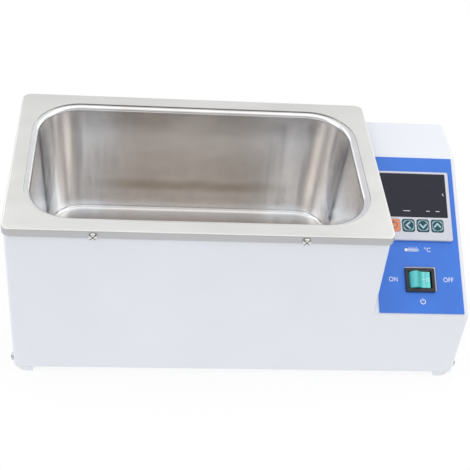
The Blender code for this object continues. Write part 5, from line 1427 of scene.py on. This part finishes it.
def inlet_housing_mesh(details):
    """The black inlet: flange, body, keyed socket, drawer slot and two screw wells."""
    length, height, thickness = INLET_FLANGE
    flange = slab("inlet_housing", length, height, INLET_FLANGE_CORNER, GAP, INLET_FACE,
                  edge=INLET_FLANGE_EDGE, steps=8)
    body = slab("inlet_body", *INLET_BODY[:2], INLET_BODY_CORNER, -INLET_BODY[2], GAP + thickness / 2)
    x, y, cut = SOCKET[0] / 2, SOCKET[1] / 2, SOCKET_CHAMFER
    outline = [(-x, -y), (x, -y), (x, y - cut), (x - cut, y), (cut - x, y), (-x, y - cut)]
    outside = INLET_FACE + OVERRUN
    socket_floor = INLET_FACE - SOCKET[2]
    tools = [
        moved(prism("socket", outline, socket_floor, outside), (0, SOCKET_RISE, 0)),
        slab("drawer_slot", DRAWER[0] + GAP * 2, DRAWER[1] + GAP * 2, GAP, INLET_FACE - DRAWER[2], outside,
             middle=(0, -DRAWER_DROP)),
    ]
    for name in PIN_NAMES:
        low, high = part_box(f"inlet_pin_{name}")
        place = (BOX_MIDDLE - (low.x + high.x) / 2, (low.z + high.z) / 2 - INLET_HEIGHT)
        tools.append(slab(f"pin_slot_{name}", high.x - low.x + GAP * 2, high.z - low.z + GAP * 2, GAP,
                          -INLET_BODY[2] - OVERRUN, socket_floor + OVERRUN / 3, middle=place))
    for side in (-1, 1):
        well = cylinder(f"well_{side}", INLET_SCREW[0] + GAP, INLET_FACE - INLET_SCREW[1] - GAP, outside, 32)
        bore = cylinder(f"bore_{side}", INLET_SCREW[2] + SCREW_PLAY, -OVERRUN, OVERRUN)
        tools += [moved(tool, (side * INLET_SCREW_PLACE, 0, 0)) for tool in (well, bore)]
    mesh = carved(carved(flange, [body], "UNION"), tools)
    return moved(softened(mesh, details.edge, 2, 50), inside=INLET)


def pin_mesh(name):
    """One inlet pin with a tapered end."""
    low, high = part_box(name)
    size = high - low
    end = size.y / 2
    profile = [(0, -end), (0, end - PIN_TAPER), (GAP, end - GAP), (GAP * 2, end)]
    pin = to_mesh(skin(contour(size.x, size.z, GAP, profile, 3)), name)
    return moved(pin, (low + high) / 2, turn=BACKWARDS)


def block(name, width, depth, low, high, middle=(0, 0)):
    """A box with square corners."""
    x, y = width / 2, depth / 2
    corners = [(-x, -y), (x, -y), (x, y), (-x, y)]
    return prism(name, [(middle[0] + across, middle[1] + along) for across, along in corners], low, high)


def drawer_mesh(details):
    """The fuse drawer: a cradle open upwards, and a lip with a groove for a screwdriver."""
    length, height, depth = DRAWER
    face = INLET_FACE + GAP
    foot, front = face - depth, face + DRAWER_LIP
    half, wide = length / 2, length / 2 + DRAWER_WALL
    outline = [(-half, foot), (half, foot), (half, face), (wide, face), (wide, front),
               (-wide, front), (-wide, face), (-half, face)]
    mesh = moved(prism("fuse_drawer", outline, -height / 2, height / 2), turn=FORWARDS)
    bed = (FUSE_RADIUS + GAP) * 2
    bed_foot = foot + DRAWER_WALL
    cradle = block("cradle", FUSE_LENGTH + GAP * 2, bed + OVERRUN, bed_foot, bed_foot + bed,
                   (0, -height / 2 + DRAWER_WALL + (bed + OVERRUN) / 2))
    groove = block("groove", *GROOVE, face + DRAWER_LIP / 2, front + OVERRUN, (0, height / 2 - GROOVE[1]))
    mesh = softened(carved(mesh, [cradle, groove]), details.edge * 0.7, 2, 50)
    return moved(mesh, (0, -DRAWER_DROP, 0), INLET)


# Stage


def lay_floor(scene):
    """The floor, swept up all round."""
    stage = scene.bath_stage
    sweep = contour(FLOOR_SIDE, FLOOR_SIDE, FLOOR_SIDE / 2, FLOOR_SWEEP, 16)
    floor = placed("floor", to_mesh(skin(sweep, lid=False), "floor", 60))
    floor.data.materials.append(floor_paper("floor_paper", tuple(stage.floor), stage.floor_glow))


def light_sky(scene):
    """Studio light from all round, dull low in front and bright overhead and behind."""
    world = bpy.data.worlds.new("studio")
    scene.world = world
    world.use_nodes = True
    nodes, links = world.node_tree.nodes, world.node_tree.links
    background = nodes["Background"]
    background.inputs["Strength"].default_value = scene.bath_stage.sky
    towards = nodes.new("ShaderNodeVectorMath")
    towards.operation = "DOT_PRODUCT"
    towards.inputs[1].default_value = SKY_LEAN
    links.new(nodes.new("ShaderNodeTexCoord").outputs["Generated"], towards.inputs[0])
    tone = colour_ramp(nodes, links, towards.outputs["Value"], SKY_TONES)
    links.new(tone, background.inputs["Color"])


def set_lights(scene):
    """The softboxes and the fill; the fill leaves no reflection, and the back lights leave only that."""
    for name, place, size, setting in LIGHTS:
        lamp = bpy.data.lights.new(name, "AREA")
        lamp.shape = "RECTANGLE"
        lamp.size, lamp.size_y = size
        lamp.energy = getattr(scene.bath_stage, setting)
        light = placed(name, lamp)
        light.location = place
        light.rotation_euler = (LIGHT_AIM - Vector(place)).to_track_quat("-Z", "Y").to_euler()
        light.visible_glossy = setting != "fill"
        light.visible_diffuse = setting != "back_light"


def set_camera(scene):
    lens = bpy.data.cameras.new("camera")
    lens.sensor_width = SENSOR
    lens.lens = scene.bath_stage.focal * SENSOR / PHOTO_SIDE
    lens.clip_start, lens.clip_end = CAMERA_CLIP
    camera = placed("camera", lens)
    camera.matrix_world = camera_matrix(scene.bath_stage)
    scene.camera = camera


def camera_matrix(stage):
    """The camera's place and turn from its yaw, pitch and roll."""
    flat, drop = math.cos(stage.pitch), math.sin(stage.pitch)
    ahead = Vector((math.sin(stage.yaw) * flat, math.cos(stage.yaw) * flat, -drop))
    level = Vector((math.cos(stage.yaw), -math.sin(stage.yaw), 0))
    upright = level.cross(ahead)
    right = level * math.cos(stage.roll) + upright * math.sin(stage.roll)
    up = upright * math.cos(stage.roll) - level * math.sin(stage.roll)
    turn = Matrix((right, up, -ahead)).transposed()
    return Matrix.Translation(stage.place) @ turn.to_4x4()


# Operators


class WATERBATH_OT_casing(bpy.types.Operator):
    """Fold the painted casing"""

    bl_idname = "waterbath.casing"
    bl_label = "Casing"
    bl_options = {"REGISTER", "UNDO"}

    def execute(self, context):
        mesh = casing_mesh(context.scene.bath_details)
        show("casing_shell", mesh, [powder_coat], "housing", ["casing"], "white_paint")
        return {"FINISHED"}


class WATERBATH_OT_rim(bpy.types.Operator):
    """Lay the brushed plate on the tank"""

    bl_idname = "waterbath.rim"
    bl_label = "Rim plate"
    bl_options = {"REGISTER", "UNDO"}

    def execute(self, context):
        mesh = rim_mesh(context.scene.bath_details)
        show("rim_plate_brushed", mesh, [brushed_plate], "housing", ["rim_plate"], "satin_steel")
        return {"FINISHED"}


class WATERBATH_OT_pan(bpy.types.Operator):
    """Draw the steel pan"""

    bl_idname = "waterbath.pan"
    bl_label = "Tank pan"
    bl_options = {"REGISTER", "UNDO"}

    def execute(self, context):
        mesh = pan_mesh(context.scene.bath_details)
        show("drawn_pan", mesh, [drawn_steel], "housing", ["tank_pan"], "drawn_steel")
        return {"FINISHED"}


class WATERBATH_OT_screws(bpy.types.Operator):
    """Drive the cross-head screws"""

    bl_idname = "waterbath.screws"
    bl_label = "Screws"
    bl_options = {"REGISTER", "UNDO"}

    def execute(self, context):
        for name, place, turn, sizes in screw_places():
            metal, slot = zinc_plate, "zinc_steel"
            if name.startswith("rim"):
                metal, slot = bright_steel, "bright_steel"
            mesh = moved(screw_mesh(name, *sizes), place, turn=turn)
            show(name + "_cross", mesh, [metal, screw_recess], "housing", [name], slot)
        dress("earth_screw", brass)
        return {"FINISHED"}


class WATERBATH_OT_base(bpy.types.Operator):
    """Set the base plate on its four feet"""

    bl_idname = "waterbath.base"
    bl_label = "Base and feet"
    bl_options = {"REGISTER", "UNDO"}

    def execute(self, context):
        for side in ("left", "right"):
            for depth in ("front", "rear"):
                name = f"foot_{depth}_{side}"
                mesh = foot_mesh(name, context.scene.bath_details)
                show(name + "_pad", mesh, [foot_plastic], "housing", [name], "white_plastic")
        dress("base_plate", powder_coat)
        return {"FINISHED"}


class WATERBATH_OT_panel(bpy.types.Operator):
    """Print the film on the sloped panel"""

    bl_idname = "waterbath.panel"
    bl_label = "Panel film"
    bl_options = {"REGISTER", "UNDO"}

    def execute(self, context):
        show("panel_film", film_mesh(), [panel_film], "housing", ["panel_overlay"], "blue_film")
        low = GAP + FILM_THICKNESS
        high = low + INK
        for name, text, height, width, place in WORDS:
            show(name, word(name, text, height, width, place, low, high), [white_print], "housing")
        for mesh in (thermometer_mesh(low, high), power_sign_mesh(low, high)):
            show(mesh.name, mesh, [white_print], "housing")
        return {"FINISHED"}


class WATERBATH_OT_controller(bpy.types.Operator):
    """Fit the temperature controller's bezel and window"""

    bl_idname = "waterbath.controller"
    bl_label = "Controller"
    bl_options = {"REGISTER", "UNDO"}

    def execute(self, context):
        bezel = bezel_mesh(context.scene.bath_details)
        show("controller_frame", bezel, [bezel_plastic], "housing", ["controller_bezel"], "grey_plastic")
        show("display_glass", window_mesh(), [smoked_window], "housing", ["display_window"], "window_film")
        show("display_marks", display_marks_mesh(), [white_print], "housing")
        for node in ("controller_case", "controller_clip_left", "controller_clip_right"):
            dress(node, black_plastic)
        dress("controller_board", board_green)
        return {"FINISHED"}


class WATERBATH_OT_keys(bpy.types.Operator):
    """Mould the controller's four keys"""

    bl_idname = "waterbath.keys"
    bl_label = "Keys"
    bl_options = {"REGISTER", "UNDO"}

    def execute(self, context):
        for index, name in enumerate(KEY_NAMES):
            looks, slot = [key_plastic, key_ink], "teal_key"
            if index == 0:
                looks, slot = [set_key_plastic, set_key_ink], "orange_key"
            show(name + "_cap", key_mesh(index, context.scene.bath_details), looks, name, [name], slot)
        return {"FINISHED"}


class WATERBATH_OT_switch(bpy.types.Operator):
    """Fit the rocker switch"""

    bl_idname = "waterbath.switch"
    bl_label = "Power switch"
    bl_options = {"REGISTER", "UNDO"}

    def execute(self, context):
        surround = switch_frame_mesh()
        rocker = rocker_mesh(context.scene.bath_details)
        show("switch_surround", surround, [black_plastic], "housing", ["switch_frame"], "black_plastic")
        show("rocker_cap", rocker, [rocker_plastic, rocker_ink], "rocker", ["rocker"], "green_rocker")
        for node in ("switch_tab_in", "switch_tab_out"):
            dress(node, brass)
        return {"FINISHED"}


class WATERBATH_OT_inlet(bpy.types.Operator):
    """Fit the mains inlet, its pins and its fuse drawer"""

    bl_idname = "waterbath.inlet"
    bl_label = "Mains inlet"
    bl_options = {"REGISTER", "UNDO"}

    def execute(self, context):
        socket = inlet_housing_mesh(context.scene.bath_details)
        drawer = drawer_mesh(context.scene.bath_details)
        show("inlet_socket", socket, [black_plastic], "housing", ["inlet_housing"], "black_plastic")
        show("fuse_drawer_front", drawer, [black_plastic], "fuse_drawer", ["fuse_drawer"], "black_plastic")
        for name in PIN_NAMES:
            node = f"inlet_pin_{name}"
            show(f"inlet_blade_{name}", pin_mesh(node), [brass], "housing", [node], "brass")
        dress("fuse", fuse_glass)
        return {"FINISHED"}


class WATERBATH_OT_inside(bpy.types.Operator):
    """Finish the heater, insulation and wiring inside"""

    bl_idname = "waterbath.inside"
    bl_label = "Inside parts"
    bl_options = {"REGISTER", "UNDO"}

    def execute(self, context):
        for maker, nodes in (
            (cast_aluminium, ["heater_plate"]),
            (zinc_plate, ["heater_retainer", "heater_nut_left", "heater_nut_right", "partition"]),
            (bright_steel, ["temperature_probe"]),
            (mineral_wool, ["insulation_wrap", "insulation_pad"]),
            (ceramic, ["terminal_block"]),
            (sleeve("red_sleeve", (0.55, 0.04, 0.03)), ["wire_live", "wire_switched"]),
            (sleeve("blue_sleeve", (0.04, 0.1, 0.5)), ["wire_neutral"]),
            (sleeve("green_sleeve", (0.2, 0.45, 0.06)), ["wire_earth"]),
            (sleeve("white_sleeve", (0.78, 0.77, 0.72)), ["heater_lead_front", "heater_lead_rear"]),
            (sleeve("black_sleeve", (0.03, 0.03, 0.032)), ["probe_cable"]),
        ):
            for node in nodes:
                dress(node, maker)
        return {"FINISHED"}


class WATERBATH_OT_stage(bpy.types.Operator):
    """Lay the floor and set the light and the camera"""

    bl_idname = "waterbath.stage"
    bl_label = "Stage"
    bl_options = {"REGISTER", "UNDO"}

    def execute(self, context):
        scene = context.scene
        lay_floor(scene)
        light_sky(scene)
        set_lights(scene)
        set_camera(scene)
        scene.view_settings.view_transform = "Standard"
        return {"FINISHED"}


OPERATORS = (
    WATERBATH_OT_casing,
    WATERBATH_OT_rim,
    WATERBATH_OT_pan,
    WATERBATH_OT_screws,
    WATERBATH_OT_base,
    WATERBATH_OT_panel,
    WATERBATH_OT_controller,
    WATERBATH_OT_keys,
    WATERBATH_OT_switch,
    WATERBATH_OT_inlet,
    WATERBATH_OT_inside,
    WATERBATH_OT_stage,
)


class WATERBATH_PT_panel(bpy.types.Panel):
    """The bath's pieces and settings, in the sidebar"""

    bl_idname = "WATERBATH_PT_panel"
    bl_label = "Water Bath"
    bl_space_type = "VIEW_3D"
    bl_region_type = "UI"
    bl_category = "Water Bath"

    def draw(self, context):
        layout = self.layout
        for operator in OPERATORS:
            layout.operator(operator.bl_idname)
        for group in (context.scene.bath_finishes, context.scene.bath_details, context.scene.bath_stage):
            box = layout.box()
            for name in group.__annotations__:
                box.prop(group, name)


GROUPS = {"bath_finishes": BathFinishes, "bath_details": BathDetails, "bath_stage": BathStage}
CLASSES = (*GROUPS.values(), *OPERATORS, WATERBATH_PT_panel)


def register():
    for item in CLASSES:
        bpy.utils.register_class(item)
    for name, group in GROUPS.items():
        setattr(bpy.types.Scene, name, PointerProperty(type=group))


def unregister():
    for name in GROUPS:
        delattr(bpy.types.Scene, name)
    for item in reversed(CLASSES):
        bpy.utils.unregister_class(item)


def main():
    register()
    for operator in OPERATORS:
        group, name = operator.bl_idname.split(".")
        getattr(getattr(bpy.ops, group), name)()


if __name__ == "__main__":
    main()
